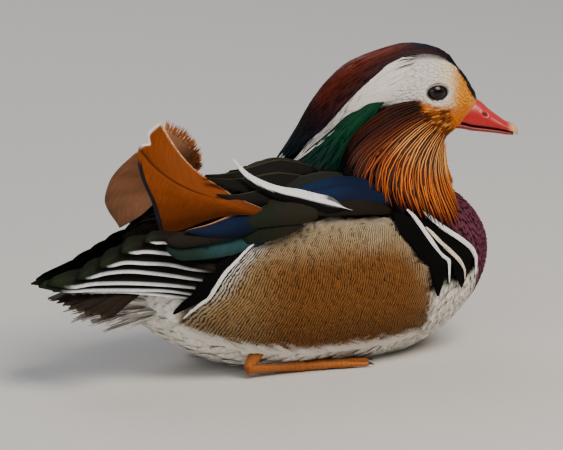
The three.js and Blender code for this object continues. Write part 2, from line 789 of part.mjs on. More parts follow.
// Eyes sit in sockets in the head, each with a raised rim of lid round it.
const EYE = { a: 18.6, b: 15.9, z: 140.6, length: 10.6, height: 7.6, depth: 3.4, yaw: 14 };
const LID = { round: 0.17, reach: 0.1, depth: 3.2, lift: 1.6 };

function eyeball(side, grow = 0) {
  const ball = new THREE.SphereGeometry(1, 12, 8);
  ball.scale(EYE.length / 2 + grow, EYE.depth + grow, EYE.height / 2 + grow);
  const at = facing(EYE.a, side * EYE.b, EYE.z);
  ball.rotateZ(HEAD_TURN + side * -degrees(EYE.yaw)).translate(at.x, at.y, at.z);
  return manifoldOf(ball);
}

function lid(side) {
  const rim = new THREE.TorusGeometry(1, LID.round, 4, 10);
  rim.rotateX(Math.PI / 2).scale(EYE.length / 2 + LID.reach, LID.depth, EYE.height / 2 + LID.reach);
  const at = facing(EYE.a, side * (EYE.b + LID.lift), EYE.z);
  rim.rotateZ(HEAD_TURN + side * -degrees(EYE.yaw)).translate(at.x, at.y, at.z);
  return manifoldOf(rim);
}

// Cheek ruff: hackles fanned from below the eye over the neck and the breast. Each line gives places as
// forward reach, side reach and height, from the rearmost hackle to the one at the throat.
const RUFF = {
  root: [[9, 17.6, 138], [8, 18.6, 131], [12, 18.8, 125], [18, 17.4, 120.5], [23, 12, 116], [23.5, 5, 111]],
  middle: [
    [-12, 23.5, 124], [-12, 28.5, 111], [-2, 31.5, 101],
    [9, 31.5, 95], [19, 25.5, 93], [27.5, 12, 93],
  ],
  end: [
    [-33, 15.5, 103], [-35, 37, 98], [-27, 46, 86], [-12, 45.5, 78],
    [4, 44.5, 68.5], [19, 38, 68], [32.5, 20, 78],
  ],
  hackles: 9,
  layer: 1,
  vane: { width: 14, shape: 1.9, cup: 0.6, rows: 6, root: 0.32, peak: 0.7 },
};

function ruff(side, grow = 0) {
  const line = (list) => new THREE.CatmullRomCurve3(list.map((p) => vec(...p)));
  const [root, middle, end] = [line(RUFF.root), line(RUFF.middle), line(RUFF.end)];
  const place = (p) => turned(p.x, side * p.y, p.z);
  const pieces = [
    shell((z, angle, offset) => headPoint(z, side * angle, offset), {
      from: 106,
      to: 132,
      low: () => degrees(14),
      high: (z) => degrees(mix(104, 82, smoothstep(104, 130, z))),
      thick: pillow(2),
      rows: 5,
      columns: 4,
      grow,
    }),
  ];
  for (let i = 0; i < RUFF.hackles; i++) {
    const u = i / (RUFF.hackles - 1);
    const raise = vec(0, RUFF.layer * ((i + 1) % 2), 0);
    const [a, b, c] = [root.getPoint(u), middle.getPoint(u).add(raise), end.getPoint(u).add(raise)];
    const reach = 1 - 0.12 * (i % 2) - 0.06 * random();
    const tip = b.clone().lerp(c, reach);
    const out0 = place(a.clone().add(vec(0, 6, 0))).sub(place(a));
    const out1 = place(c.clone().add(vec(c.x * 0.08, 6, 4))).sub(place(c));
    const path = [a, a.clone().lerp(b, 0.5).add(vec(0, 1.2, 0)), b, tip].map(place);
    pieces.push(feather({ path, out: (t) => out0.clone().lerp(out1, t), grow, ...RUFF.vane }));
  }
  return fuse(pieces);
}

// Mantle: the feathers of the middle of the back, between the wings
const MANTLE = { first: 24, step: 21, count: 4, length: 40, width: 17, thick: 3.4 };

function mantle(grow = 0) {
  const pieces = [
    shell((x, angle, offset) => bodyPoint(x, angle, LEFT, offset), {
      from: -92,
      to: 26,
      low: () => degrees(171.5),
      high: () => degrees(188.5),
      thick: (t) => SHELL_EDGE + (MANTLE.thick - SHELL_EDGE) * Math.sqrt(ramp(t)),
      rows: 8,
      columns: 3,
      grow,
    }),
  ];
  for (let i = 0; i < MANTLE.count; i++)
    pieces.push(
      lying({
        from: MANTLE.first - i * MANTLE.step,
        length: MANTLE.length,
        angle: 180,
        lift: TIER_LIFT,
        width: MANTLE.width,
        shape: 2.6,
        rows: 5,
        root: 0.7,
        grow,
      }),
    );
  return fuse(pieces);
}

// Folded leg: shank along the belly, three webbed toes forward, a small hind toe
const LEG = {
  y: 33, heel: -52, knuckle: -18, toe: 22, shortToe: 17, spread: 9,
  web: 1.4, webReach: [0.02, 0.5, 0.86],
  shank: [3.2, 2.4, 2.2, 2.6], thigh: [3, 5.5, 8], toes: [2.4, 1.9, 1.7, 0.6], hind: [1.4, 1.1, 0.5],
};
const ROD_SIDES = 6;

// A rod of changing radius along a bent line, flat where it meets the floor.
function rod(points, radii) {
  const curve = new THREE.CatmullRomCurve3(points);
  const rings = radii.map((radius, i) => {
    const centre = curve.getPoint(i / (radii.length - 1));
    const ring = [];
    for (let j = 0; j < ROD_SIDES; j++) {
      const angle = (2 * Math.PI * (j + 0.5)) / ROD_SIDES;
      const z = centre.z + 0.9 * radius * Math.sin(angle);
      ring.push(vec(centre.x, centre.y + radius * Math.cos(angle), Math.max(0, z)));
    }
    return ring;
  });
  return loft(rings);
}

function leg(side) {
  const { y, heel, knuckle, toe, shortToe, spread } = LEG;
  const joint = sided(side, knuckle, y, 2.2);
  const tips = [[shortToe, -spread], [toe, 0], [shortToe, spread]];
  const ends = tips.map(([x, across]) => sided(side, x, y + across, 1.2));
  const middle = sided(side, mix(heel, knuckle, 0.5), y, 3.4);
  const shank = rod([sided(side, heel, y, 5), middle, joint], LEG.shank);
  const thigh = rod([sided(side, heel + 1, y, 4), sided(side, heel + 12, y - 3, 18)], LEG.thigh);
  const toes = ends.map((end) => rod([joint, joint.clone().lerp(end, 0.5), end], LEG.toes));
  const hind = rod([sided(side, knuckle - 2, y - 2, 2), sided(side, knuckle - 12, y - 5, 1.2)], LEG.hind);
  const row = (t, z) => ends.map((end) => joint.clone().lerp(end, t).setZ(z));
  const web = slab(LEG.webReach.map((t) => row(t, LEG.web)), LEG.webReach.map((t) => row(t, 0)));
  return fuse([shank, thigh, ...toes, hind, web]);
}

const SIDES = [LEFT, RIGHT];
const hand = { [LEFT]: "left", [RIGHT]: "right" };
const grown = {
  torso: torso(GAP),
  breast: breast(GAP),
  neck: neckMass(GAP),
  head: headMass(GAP),
  bills: [upperBill(GAP), lowerBill(GAP)],
};

// Each feathered piece is made twice from the same random numbers: at its size, and grown by the gap so
// that its neighbours can be cut clear of it.
function pair(make) {
  const start = seed;
  const plain = make(0);
  seed = start;
  return { plain, grown: make(GAP) };
}

const made = {
  mantle: pair(mantle),
  tail: pair(tail),
  crest: pair(crest),
  undertail: pair(undertail),
};
const perSide = SIDES.map((side) => {
  const both = (make) => pair((grow) => make(side, grow));
  return {
    flank: both(flank),
    wing: both(wing),
    ruff: both(ruff),
    secondaries: both(secondaries),
    primaries: both(primaries),
    scapular: both(scapular),
    sail: both(sail),
  };
});
const body = [grown.torso, grown.breast];
const back = [made.mantle.grown, ...perSide.map((pieces) => pieces.wing.grown)];
const ruffs = perSide.map((pieces) => pieces.ruff.grown);

const parts = [];
const note = (name, shape, material) => parts.push([name, shape, material]);

note("torso", torso(), MATERIALS.belly);
note("breast", breast(), MATERIALS.breast);
note("neck", carve(neckMass(), body), MATERIALS.nape);
const headWithLids = fuse([headMass(), ...SIDES.map(lid)]);
note("head", carve(headWithLids, SIDES.map((side) => eyeball(side, GAP))), MATERIALS.face);
note("bill_upper", carve(upperBill(), [grown.head]), MATERIALS.bill);
note("bill_lower", carve(lowerBill(), [grown.head]), MATERIALS.bill);
note("crest", carve(made.crest.plain, [...body, grown.neck, grown.head, ...back, ...ruffs]), MATERIALS.crest);
note("mantle", carve(made.mantle.plain, [...body, grown.neck]), MATERIALS.olive);
note("tail", carve(made.tail.plain, [grown.torso]), MATERIALS.olive);
note("undertail", carve(made.undertail.plain, [grown.torso, made.tail.grown]), MATERIALS.bar);

SIDES.forEach((side, i) => {
  const it = perSide[i];
  const folded = [grown.torso, it.flank.grown, it.wing.grown];
  const nearSail = [it.secondaries.grown, it.scapular.grown, it.primaries.grown];
  const name = (what) => `${what}_${hand[side]}`;
  note(name("eye"), eyeball(side), MATERIALS.eye);
  note(
    name("ruff"),
    carve(it.ruff.plain, [...body, grown.neck, grown.head, ...grown.bills, it.flank.grown, it.wing.grown]),
    MATERIALS.hackle,
  );
  note(name("flank"), carve(it.flank.plain, body), MATERIALS.flank);
  const wingNeighbours = [...body, it.flank.grown, made.mantle.grown, grown.neck];
  note(name("wing"), carve(it.wing.plain, wingNeighbours), MATERIALS.olive);
  note(name("secondaries"), carve(it.secondaries.plain, folded), MATERIALS.speculum);
  note(
    name("primaries"),
    carve(it.primaries.plain, [...folded, it.secondaries.grown, made.tail.grown, made.undertail.grown]),
    MATERIALS.wing,
  );
  note(name("scapular"), carve(it.scapular.plain, folded), MATERIALS.bar);
  note(
    name("sail"),
    carve(it.sail.plain, [...folded, ...nearSail, made.mantle.grown]),
    MATERIALS.sail,
  );
  note(name("leg"), carve(leg(side), [grown.torso, it.flank.grown]), MATERIALS.leg);
});

parts.forEach(([name, shape, material]) => add(name, shape, material));

// The origin is at the middle of the bird's box, on the floor.
const box = new THREE.Box3().setFromObject(group);
group.position.set(-(box.min.x + box.max.x) / 2, -(box.min.y + box.max.y) / 2, 0);

export default group;
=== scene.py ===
# %% [markdown]
# # A mandarin drake, life size
# This notebook dresses a still model of a mandarin drake at rest on its belly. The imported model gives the
# solids: body, head, wings, tail and feet at their real size. Here each solid gets a finer piece that
# stands where it stands. One smooth skin runs from bill to tail, and every feather on it is a thin closed
# mesh that follows the lie of the coat.

# %% Load the frame
import math

import bpy
import numpy as np
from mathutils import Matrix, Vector


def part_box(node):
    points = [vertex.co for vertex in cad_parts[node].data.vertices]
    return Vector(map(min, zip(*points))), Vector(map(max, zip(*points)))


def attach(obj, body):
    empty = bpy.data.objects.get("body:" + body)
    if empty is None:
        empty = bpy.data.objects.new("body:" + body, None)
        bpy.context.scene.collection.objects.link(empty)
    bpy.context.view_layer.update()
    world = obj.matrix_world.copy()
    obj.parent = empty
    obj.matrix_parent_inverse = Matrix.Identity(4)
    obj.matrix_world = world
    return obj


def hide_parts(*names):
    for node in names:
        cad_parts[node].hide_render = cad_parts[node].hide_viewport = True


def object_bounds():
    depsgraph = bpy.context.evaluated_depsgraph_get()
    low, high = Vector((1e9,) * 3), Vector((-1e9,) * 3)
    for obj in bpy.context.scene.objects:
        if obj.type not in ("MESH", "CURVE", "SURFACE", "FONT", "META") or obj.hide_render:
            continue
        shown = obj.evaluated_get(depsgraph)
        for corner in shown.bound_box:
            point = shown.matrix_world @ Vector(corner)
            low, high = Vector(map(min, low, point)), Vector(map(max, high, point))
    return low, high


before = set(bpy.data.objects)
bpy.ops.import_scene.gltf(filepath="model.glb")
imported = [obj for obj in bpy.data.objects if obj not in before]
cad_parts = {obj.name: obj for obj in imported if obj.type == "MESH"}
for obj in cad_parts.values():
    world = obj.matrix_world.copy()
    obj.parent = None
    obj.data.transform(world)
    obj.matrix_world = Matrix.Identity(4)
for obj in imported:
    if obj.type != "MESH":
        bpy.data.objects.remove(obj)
cad_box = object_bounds()
print("nodes in the frame:", len(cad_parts))

# %% [markdown]
# ## One set of coordinates
# The bird is worked out in millimetres, with X towards the breast, Y towards its left wing and Z up from
# the floor. The frame has the same directions in metres, with its origin below the middle of the whole
# bird. The hind end of the torso ties the two together, so no place is typed twice.

# %% Millimetres to the frame
MM = 0.001
TORSO_END = -122.0
torso_low, torso_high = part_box("torso")
SHIFT = np.array([torso_low.x / MM - TORSO_END, (torso_low.y + torso_high.y) / 2 / MM, 0.0])
SIDES = ((1, "left"), (-1, "right"))
dice = np.random.default_rng(7)


def to_frame(points):
    return (np.asarray(points, float) + SHIFT) * MM


print("shift from bird to frame in mm:", SHIFT.round(2))

# %% [markdown]
# ## Smooth curves through a few stations
# A bird's outline is a few measured stations with smooth curves between them. `track` gives a curve that
# never overshoots its stations, which keeps a section from bulging between two widths. `line` does the
# same for points in space, such as the shaft of a feather, and may swing a little wide.

# %% Curves


def eased(ends, places, tangent):
    """A smooth curve through places, with the tangent given at each."""
    wide = (...,) + (None,) * (places.ndim - 1)

    def at(t):
        t = np.clip(np.asarray(t, float), ends[0], ends[-1])
        i = np.clip(np.searchsorted(ends, t, side="right") - 1, 0, len(ends) - 2)
        h = (ends[i + 1] - ends[i])[wide]
        u = (t - ends[i])[wide] / h
        rise = u * u * (3 - 2 * u)
        bend = u * (1 - u) ** 2 * tangent[i] - u * u * (1 - u) * tangent[i + 1]
        return places[i] * (1 - rise) + places[i + 1] * rise + h * bend

    return at


def track(stations, values):
    xs, ys = np.array(stations, float), np.array(values, float)
    slope = np.diff(ys) / np.diff(xs)
    product = slope[:-1] * slope[1:]
    total = np.where(product > 0, slope[:-1] + slope[1:], 1.0)
    inner = np.where(product > 0, 2 * product / total, 0.0)
    return eased(xs, ys, np.concatenate([slope[:1], inner, slope[-1:]]))


def line(points):
    points = np.array(points, float)
    gaps = np.linalg.norm(np.diff(points, axis=0), axis=1)
    ends = np.concatenate([[0], np.cumsum(gaps)]) / gaps.sum()
    return eased(ends, points, np.gradient(points, ends, axis=0))


print("halfway along a bend:", line([[0, 0], [1, 2], [4, 3]])(0.5).round(2))

# %% Steps, blends and colours


def unit(v):
    return v / np.maximum(np.linalg.norm(v, axis=-1, keepdims=True), 1e-9)


def join(*parts):
    """Numbers side by side, as the last axis of one array."""
    return np.stack(np.broadcast_arrays(*parts), axis=-1)


def smooth(low, high, value):
    """0 below low and 1 above high, with a soft step between. With low above high it falls instead."""
    t = np.clip((np.asarray(value, float) - low) / (high - low), 0, 1)
    return t * t * (3 - 2 * t)


def hump(low, high, value, soft):
    """1 between low and high, falling to 0 over the soft width at both ends."""
    return smooth(low - soft, low, value) * (1 - smooth(high, high + soft, value))


def peak(distance, width):
    """1 at no distance, falling off like a bell."""
    return np.exp(-((distance / width) ** 2))


def mix(a, b, t):
    return a + (b - a) * np.asarray(t, float)


def wrapped(angle):
    """An angle in degrees from -180 to 180."""
    return (angle + 180) % 360 - 180


def linear(colour):
    """An sRGB hex colour as linear red, green and blue. Numbers are linear already."""
    if not isinstance(colour, str):
        return colour
    srgb = np.array([int(colour[i : i + 2], 16) for i in (1, 3, 5)]) / 255
    return np.where(srgb <= 0.04045, srgb / 12.92, ((srgb + 0.055) / 1.055) ** 2.4)


def paint(base, *layers):
    """Lays colours over a base one by one, each by its amount, which may differ from place to place."""
    base = linear(base)
    for colour, amount in layers:
        base = base + (linear(colour) - base) * np.asarray(amount, float)[..., None]
    return base


print("half white over black:", paint("#000000", ("#ffffff", 0.5)).round(2))

# %% [markdown]
# ## The body as a surface
# A duck's body is a boat: broad and flat below, pointed at the tail, deep at the breast. Its sections are
# nearly ellipses, a little squarer than that. Every place on it has two numbers, the distance along the
# bird and the angle round it from the belly, and a third, the height above it. Feathers are laid out in
# these numbers, so that they follow the form on every side.

# %% Body surface
BODY_X = [-122, -118, -108, -92, -70, -42, -12, 18, 46, 70, 90, 103, 109, 111]
body_half = track(BODY_X, [3, 8, 16, 28, 39, 46.5, 50.5, 50.5, 48, 42, 32, 21.5, 13, 7])
body_top = track(BODY_X, [60, 64, 71, 80, 88, 94, 98, 99.5, 98, 93, 84, 72, 63, 58])
body_bottom = track(BODY_X, [54, 49, 38, 24, 10, -0.5, -4, -4, -2.5, 4, 16, 29, 39, 45])
body_widest = track(BODY_X, [57, 56, 55, 53, 50, 48, 47, 47, 47, 48, 49, 50, 51, 51.5])
SQUARE = 2.25
FLOOR_GAP = 0.15


def body(x, angle, height=0.0):
    """A place on the body. Angle is in degrees from the belly, positive to the bird's left."""
    s, c = np.sin(np.radians(angle)), np.cos(np.radians(angle))
    middle = body_widest(x)
    reach = np.where(c > 0, middle - body_bottom(x), body_top(x) - middle) + height
    y = (body_half(x) + height) * np.sign(s) * np.abs(s) ** (2 / SQUARE)
    z = middle - np.sign(c) * reach * np.abs(c) ** (2 / SQUARE)
    return join(x, y, np.maximum(z, FLOOR_GAP))


def body_reach(x, z):
    """How far the body reaches above or below its widest height, on the side where z is."""
    middle = body_widest(x)
    return middle, np.where(z < middle, middle - body_bottom(x), body_top(x) - middle)


def body_angle(points):
    """The angle round the body of places near it."""
    x, y, z = np.moveaxis(points, -1, 0)
    middle, reach = body_reach(x, z)
    s = np.clip(np.abs(y) / body_half(x), 0, 1.5) ** (SQUARE / 2)
    c = np.clip(np.abs(z - middle) / reach, 0, 1.5) ** (SQUARE / 2)
    return np.degrees(np.arctan2(s, np.where(z < middle, c, -c))) * np.where(y < 0, -1, 1)


print("belly to back at the middle:", body(0.0, np.array([0.0, 180.0]))[:, 2].round(1), "mm")

# %% [markdown]
# ## Head, neck and crest as surfaces
# The head is turned to the bird's right, and the neck twists with it. Head places are given along the
# head's own forward line, with a for forward, b for its left and z for height. The crest is a long swept
# mass that rises from the brow, arches over the crown and falls behind the neck.

# %% Head and neck surface
NECK_AXIS = 62.0
HEAD_TURN = math.radians(-26)
TURN_HEIGHTS = (66, 120)
HEAD_Z = [60, 70, 80, 90, 101, 108, 114, 117, 122, 128, 133, 141, 149, 154, 158, 160]
head_front = track(HEAD_Z, [34, 34.5, 31, 25.5, 22.5, 23, 25, 28.5, 35, 40, 42, 38.5, 33.5, 28.5, 21, 14])
head_back = track(HEAD_Z, [44, 46, 46, 43, 40, 38, 36, 35.5, 35, 34, 33, 30, 26, 20, 13, 6])
head_half = track(HEAD_Z, [34, 35, 33, 28.5, 24, 22.5, 21.5, 21, 20.5, 20, 20, 19, 15.5, 11.5, 7.5, 4])


def turned(local):
    """Turns places given from the neck axis with the head."""
    a, b, z = np.moveaxis(local, -1, 0)
    angle = HEAD_TURN * smooth(*TURN_HEIGHTS, z)
    c, s = np.cos(angle), np.sin(angle)
    return join(NECK_AXIS + a * c - b * s, a * s + b * c, z)


def straight(points):
    """The opposite of turned."""
    x, y, z = np.moveaxis(points, -1, 0)
    x = x - NECK_AXIS
    angle = -HEAD_TURN * smooth(*TURN_HEIGHTS, z)
    c, s = np.cos(angle), np.sin(angle)
    return join(x * c - y * s, x * s + y * c, z)


def head_local(z, angle, height=0.0):
    turn = np.radians(angle)
    c = np.cos(turn)
    reach = np.where(c > 0, head_front(z), head_back(z)) + height
    return join(reach * c, (head_half(z) + height) * np.sin(turn), z)


def head(z, angle, height=0.0):
    """A place on the head or neck. Angle is in degrees from the front, positive to the bird's left."""
    return turned(head_local(z, angle, height))


print("brow at", head(149.0, 0.0).round(1), "mm")

# %% Crest surface
crest_line = line([
    [33, 0, 154], [21, 0, 161.8], [11.3, 0, 164.3], [2, 0, 164.6], [-9, 0, 161.8], [-18, 0, 158.5],
    [-27.4, 0, 154.5], [-38, 0, 145.5], [-48, 0, 132.5], [-56, 0, 118.5], [-63, 0, 108], [-70, 0, 100.5],
])
crest_radius = track([0, 0.12, 0.28, 0.5, 0.7, 0.85, 1], [6, 12, 17, 20, 20, 17, 11])


def crest_local(t, angle, height=0.0):
    t, angle, height = np.broadcast_arrays(np.asarray(t, float), angle, height)
    along = unit(crest_line(t + 0.01) - crest_line(t - 0.01))
    up = join(-along[..., 2], 0, along[..., 0])
    up = up * np.where(up[..., 2:] < 0, -1, 1)
    radius = crest_radius(t)
    turn = np.radians(angle)
    place = crest_line(t) + up * ((radius + height) * np.cos(turn) - radius)[..., None]
    place[..., 1] = (radius + height) * np.sin(turn)
    return place


def crest(t, angle, height=0.0):
    """A place on the crest: t runs from brow to tip, angle from its ridge, positive to the bird's left."""
    return turned(crest_local(t, angle, height))


print("crest top at", crest(0.25, 0.0)[2].round(1), "mm")

# %% [markdown]
# ## From numbers to meshes
# Feathers come by the thousand, so each piece is filled in one go from arrays. Every point carries a
# colour, and the layer "Vane" gives its place on its own feather in millimetres, across and along. That
# lets a material draw the barbs of each feather. The layer "OFBake" unwraps each piece by where its
# feathers are rooted on the skin.

# %% Mesh builder


def outward(points, faces):
    """Turns all faces over where they enclose the piece inside out."""
    volume = 0.0
    for group in faces:
        for i in range(1, group.shape[1] - 1):
            normal = np.cross(points[group[:, i]], points[group[:, i + 1]])
            volume += (points[group[:, 0]] * normal).sum()
    return faces if volume > 0 else [group[:, ::-1] for group in faces]


def flat32(values):
    return np.asarray(values).astype(np.float32).ravel()


def show(name, data):
    """Puts a mesh, lamp or camera into the scene."""
    made = bpy.data.objects.new(name, data)
    bpy.context.scene.collection.objects.link(made)
    return made


def build(
    name, points, faces, material, replaced=(), tint=None, bake=None, vane=None, lie=None, rim=None
):
    """Makes one piece from points in mm and groups of faces with the same number of corners. The rim marks
    the points where the shading breaks, so that a thin vane looks flat and not puffed up."""
    mesh = bpy.data.meshes.new(name)
    faces = outward(points, faces)
    mesh.vertices.add(len(points))
    mesh.vertices.foreach_set("co", flat32(to_frame(points)))
    corners = np.concatenate([group.ravel() for group in faces]).astype(np.int32)
    sizes = np.concatenate([np.full(len(group), group.shape[1]) for group in faces])
    mesh.loops.add(len(corners))
    mesh.loops.foreach_set("vertex_index", corners)
    mesh.polygons.add(len(sizes))
    mesh.polygons.foreach_set("loop_start", (np.cumsum(sizes) - sizes).astype(np.int32))
    mesh.update(calc_edges=True)
    mesh.polygons.foreach_set("use_smooth", np.ones(len(sizes), bool))
    if rim is not None:
        ends = np.empty(len(mesh.edges) * 2, np.int32)
        mesh.edges.foreach_get("vertices", ends)
        mesh.edges.foreach_set("use_edge_sharp", rim[ends.reshape(-1, 2)].all(axis=1))
    by_corner = bake[corners] if len(bake) == len(points) else bake
    mesh.uv_layers.new(name="OFBake").data.foreach_set("uv", flat32(by_corner))
    if vane is not None:
        mesh.uv_layers.new(name="Vane").data.foreach_set("uv", flat32(vane[corners]))
    rgba = np.ones((len(points), 4), np.float32)
    rgba[:, : tint.shape[1]] = tint
    mesh.color_attributes.new("Tint", "FLOAT_COLOR", "POINT").data.foreach_set("color", rgba.ravel())
    if lie is not None:
        mesh.attributes.new("Lie", "FLOAT", "POINT").data.foreach_set("value", flat32(lie))
    mesh.materials.append(material)
    piece = show(name, mesh)
    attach(piece, "root")
    if replaced:
        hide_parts(*replaced)
    print(name, "triangles:", int((sizes - 2).sum()))


print("floor gap under the skin:", FLOOR_GAP, "mm")

# %% [markdown]
# ## A feather as a solid
# A feather is a shaft with a web on each side. Its section here is a thin arch: a ridge along the shaft,
# two edges that bend down, and an underside just below. Rows of these sections along the shaft, closed at
# both ends, make one thin solid. A plume takes four corners a row, and a broad quill takes more.

# %% Feather sections
PATCH = 0.003
SOFT_EDGE = 0.2


def vanes(centre, out, width, profile, cup=0.2, thick=0.3, columns=(-1, 0, 1)):
    """Solids along centre lines of shape (feathers, rows, 3). Columns are the corners from edge to edge."""
    count, rows, _ = centre.shape
    q = np.array(columns, float)
    along = unit(np.gradient(centre, axis=1))
    across = unit(np.cross(along, out))
    face = np.cross(across, along)
    half = np.broadcast_to(np.asarray(width, float)[:, None] / 2 * profile, (count, rows))
    arch = cup * half[..., None] * q**2
    body_height = thick / 2 * (1 - q**2) * np.minimum(1, half[..., None] / (thick + SOFT_EDGE))
    flat = centre[:, :, None] + across[:, :, None] * (half[..., None] * q)[..., None]
    upper = flat + face[:, :, None] * (body_height - arch)[..., None]
    lower = flat + face[:, :, None] * (-body_height - arch)[..., None]
    inner = slice(len(q) - 2, 0, -1)
    ring = 2 * len(q) - 2
    start = np.arange(count)[:, None, None] * rows * ring
    k = np.arange(ring)
    base = start + np.arange(rows - 1)[:, None] * ring
    after = base + (k + 1) % ring
    sides = np.stack([base + k, after, after + ring, base + ring + k], axis=-1)
    return {
        "points": np.concatenate([upper, lower[:, :, inner]], axis=2),
        "faces": [sides.reshape(-1, 4), start[:, 0] + k[::-1], start[:, 0] + (rows - 1) * ring + k],
        "q": np.concatenate([q, q[inner]]),
        "t": np.linspace(0, 1, rows)[:, None],
        "half": half,
        "top": np.concatenate([np.ones(len(q)), np.zeros(len(q) - 2)]),
        "length": np.linalg.norm(np.diff(centre, axis=1), axis=2).sum(axis=1),
    }


def feathers(name, made, tint, place, material, replaced=(), patch=PATCH, lie=None):
    """Builds a piece from feather solids. Place is where each root lies on the unwrapped skin, 0 to 1."""
    shape = made["points"].shape[:3]
    q, t = np.broadcast_to(made["q"], shape), np.broadcast_to(made["t"], shape)
    bake = join(place[:, 0, None, None] + q * patch / 2, place[:, 1, None, None] + (t - 0.5) * patch)
    vane = join(q * made["half"][..., None], t * made["length"][:, None, None])
    tint = np.broadcast_to(tint, shape + tint.shape[-1:])
    build(
        name, made["points"].reshape(-1, 3), made["faces"], material, replaced,
        np.clip(tint.reshape(-1, tint.shape[-1]), 0, None), bake.reshape(-1, 2), vane.reshape(-1, 2), lie,
        np.abs(q.ravel()) == 1,
    )


print("a feather's patch on the unwrapped skin:", PATCH)

# %% [markdown]
# ## Laying feathers on a surface
# Feathers lie back like tiles: the root is sunk in the skin and the tip rests on the next rows. `lay`
# turns a heading in space into steps in the surface's own two numbers, and walks along them, so that a
# feather bends with the form under it.

# %% Laying
PROBE = 0.4


def facing_out(normal, surface, a, b, height):
    """Turns normals over where they point into the surface."""
    away = surface(a, b, height + 1.0) - surface(a, b, height)
    return normal * np.where((normal * away).sum(axis=-1, keepdims=True) < 0, -1, 1)


def normals(surface, a, b, height=0.0):
    da = surface(a + PROBE, b, height) - surface(a - PROBE, b, height)
    db = surface(a, b + PROBE, height) - surface(a, b - PROBE, height)
    return facing_out(unit(np.cross(da, db)), surface, a, b, height)


def lay(surface, a, b, heading, length, rows, low, high):
    """Centre lines and outward directions of feathers rooted at (a, b). They rise from low to high."""
    here = surface(a, b, 0.0)
    da = (surface(a + PROBE, b, 0.0) - here) / PROBE
    db = (surface(a, b + PROBE, 0.0) - here) / PROBE
    aa, bb, ab = (da * da).sum(-1), (db * db).sum(-1), (da * db).sum(-1)
    ha, hb = (heading * da).sum(-1), (heading * db).sum(-1)
    det = np.maximum(aa * bb - ab * ab, 1e-6)
    p = (ha * bb - hb * ab) / det
    r = (hb * aa - ha * ab) / det
    speed = np.maximum(np.linalg.norm(p[:, None] * da + r[:, None] * db, axis=-1), 1e-6)
    t = np.linspace(0, 1, rows)
    run = length[:, None] * t
    line_a = a[:, None] + (p / speed)[:, None] * run
    line_b = b[:, None] + (r / speed)[:, None] * run
    return surface(line_a, line_b, mix(low, high, t**1.2)), normals(surface, line_a, line_b), t


def rows_of_roots(firsts, girth, pitch, low=-180.0, high=180.0, loose=0.12):
    """Staggered roots: for each first number, places round the second one pitch apart in mm."""
    gap = firsts[1] - firsts[0]
    roots = []
    for i, first in enumerate(firsts):
        count = max(int(girth(first) * (high - low) / 360 / pitch), 1)
        step = (high - low) / count
        b = low + (np.arange(count) + 0.5 * (i % 2) + 0.25) * step
        roots.append([first + dice.normal(0, loose, count) * gap, b + dice.normal(0, 0.14, count) * step])
    return np.concatenate(roots, axis=1)


print("feathers feel the surface every", PROBE, "steps")

# %% [markdown]
# ## Materials
# Feather is keratin: matt on the body, silky on the crest, glassy where the webs are tight. Barbs leave
# the shaft at a slant, which gives each vane its fine grain. On the real bird they stand closer than a
# picture can show, so they are drawn coarser here, half a millimetre and more apart. The grain is drawn
# from the feather's own millimetres, and the colour comes from the points.

# %% Node helper


def node(tree, kind, sockets=None, **settings):
    """Adds a shader node. A socket takes a value, a node's first output or another node's socket."""
    made = tree.nodes.new("ShaderNode" + kind)
    for key, value in settings.items():
        setattr(made, key, value)
    for socket, value in (sockets or {}).items():
        if isinstance(value, bpy.types.Node):
            value = value.outputs[0]
        if isinstance(value, bpy.types.NodeSocket):
            tree.links.new(value, made.inputs[socket])
        else:
            made.inputs[socket].default_value = value
    return made


def fresh(name):
    material = bpy.data.materials.new(name)
    material.use_nodes = True
    material.node_tree.nodes.clear()
    return material, material.node_tree


def finish_material(tree, colour, height, bump=0.3, reach=0.1, **sockets):
    """Ends a material: a standard shader with the relief of a height map, its reach in mm."""
    words = {key.replace("_", " "): value for key, value in sockets.items()}
    relief = node(tree, "Bump", {"Height": height, "Strength": bump, "Distance": reach * MM})
    shader = node(tree, "BsdfPrincipled", {"Base Color": colour, "Normal": relief, **words})
    node(tree, "OutputMaterial", {"Surface": shader})

print("tree helper ready, relief is given in mm")

# %% Feather materials


def barbs(tree, pitch, slant=0.9):
    """A wave across the barbs of a vane, a pitch in mm apart, and a slower streak that follows them."""
    uv = node(tree, "UVMap", uv_map="Vane")
    place = node(tree, "SeparateXYZ", {0: uv})
    side = node(tree, "Math", {0: place.outputs[0]}, operation="ABSOLUTE")
    along = node(tree, "Math", {0: side, 1: -slant, 2: place.outputs[1]}, operation="MULTIPLY_ADD")
    wobble = node(tree, "TexNoise", {"Vector": uv, "Scale": 0.6, "Detail": 2.0})
    phase = node(tree, "Math", {0: wobble, 1: pitch * 3.0, 2: along}, operation="MULTIPLY_ADD")
    turns = node(tree, "Math", {0: phase, 1: 2 * math.pi / pitch}, operation="MULTIPLY")
    lined_up = node(tree, "CombineXYZ", {0: phase, 1: side})
    stretch = node(tree, "Mapping", {0: lined_up, 3: (1.0, 0.12, 1.0)})
    streak = node(tree, "TexNoise", {"Vector": stretch, "Scale": 0.9, "Detail": 3.0})
    return node(tree, "Math", {0: turns}, operation="SINE"), streak


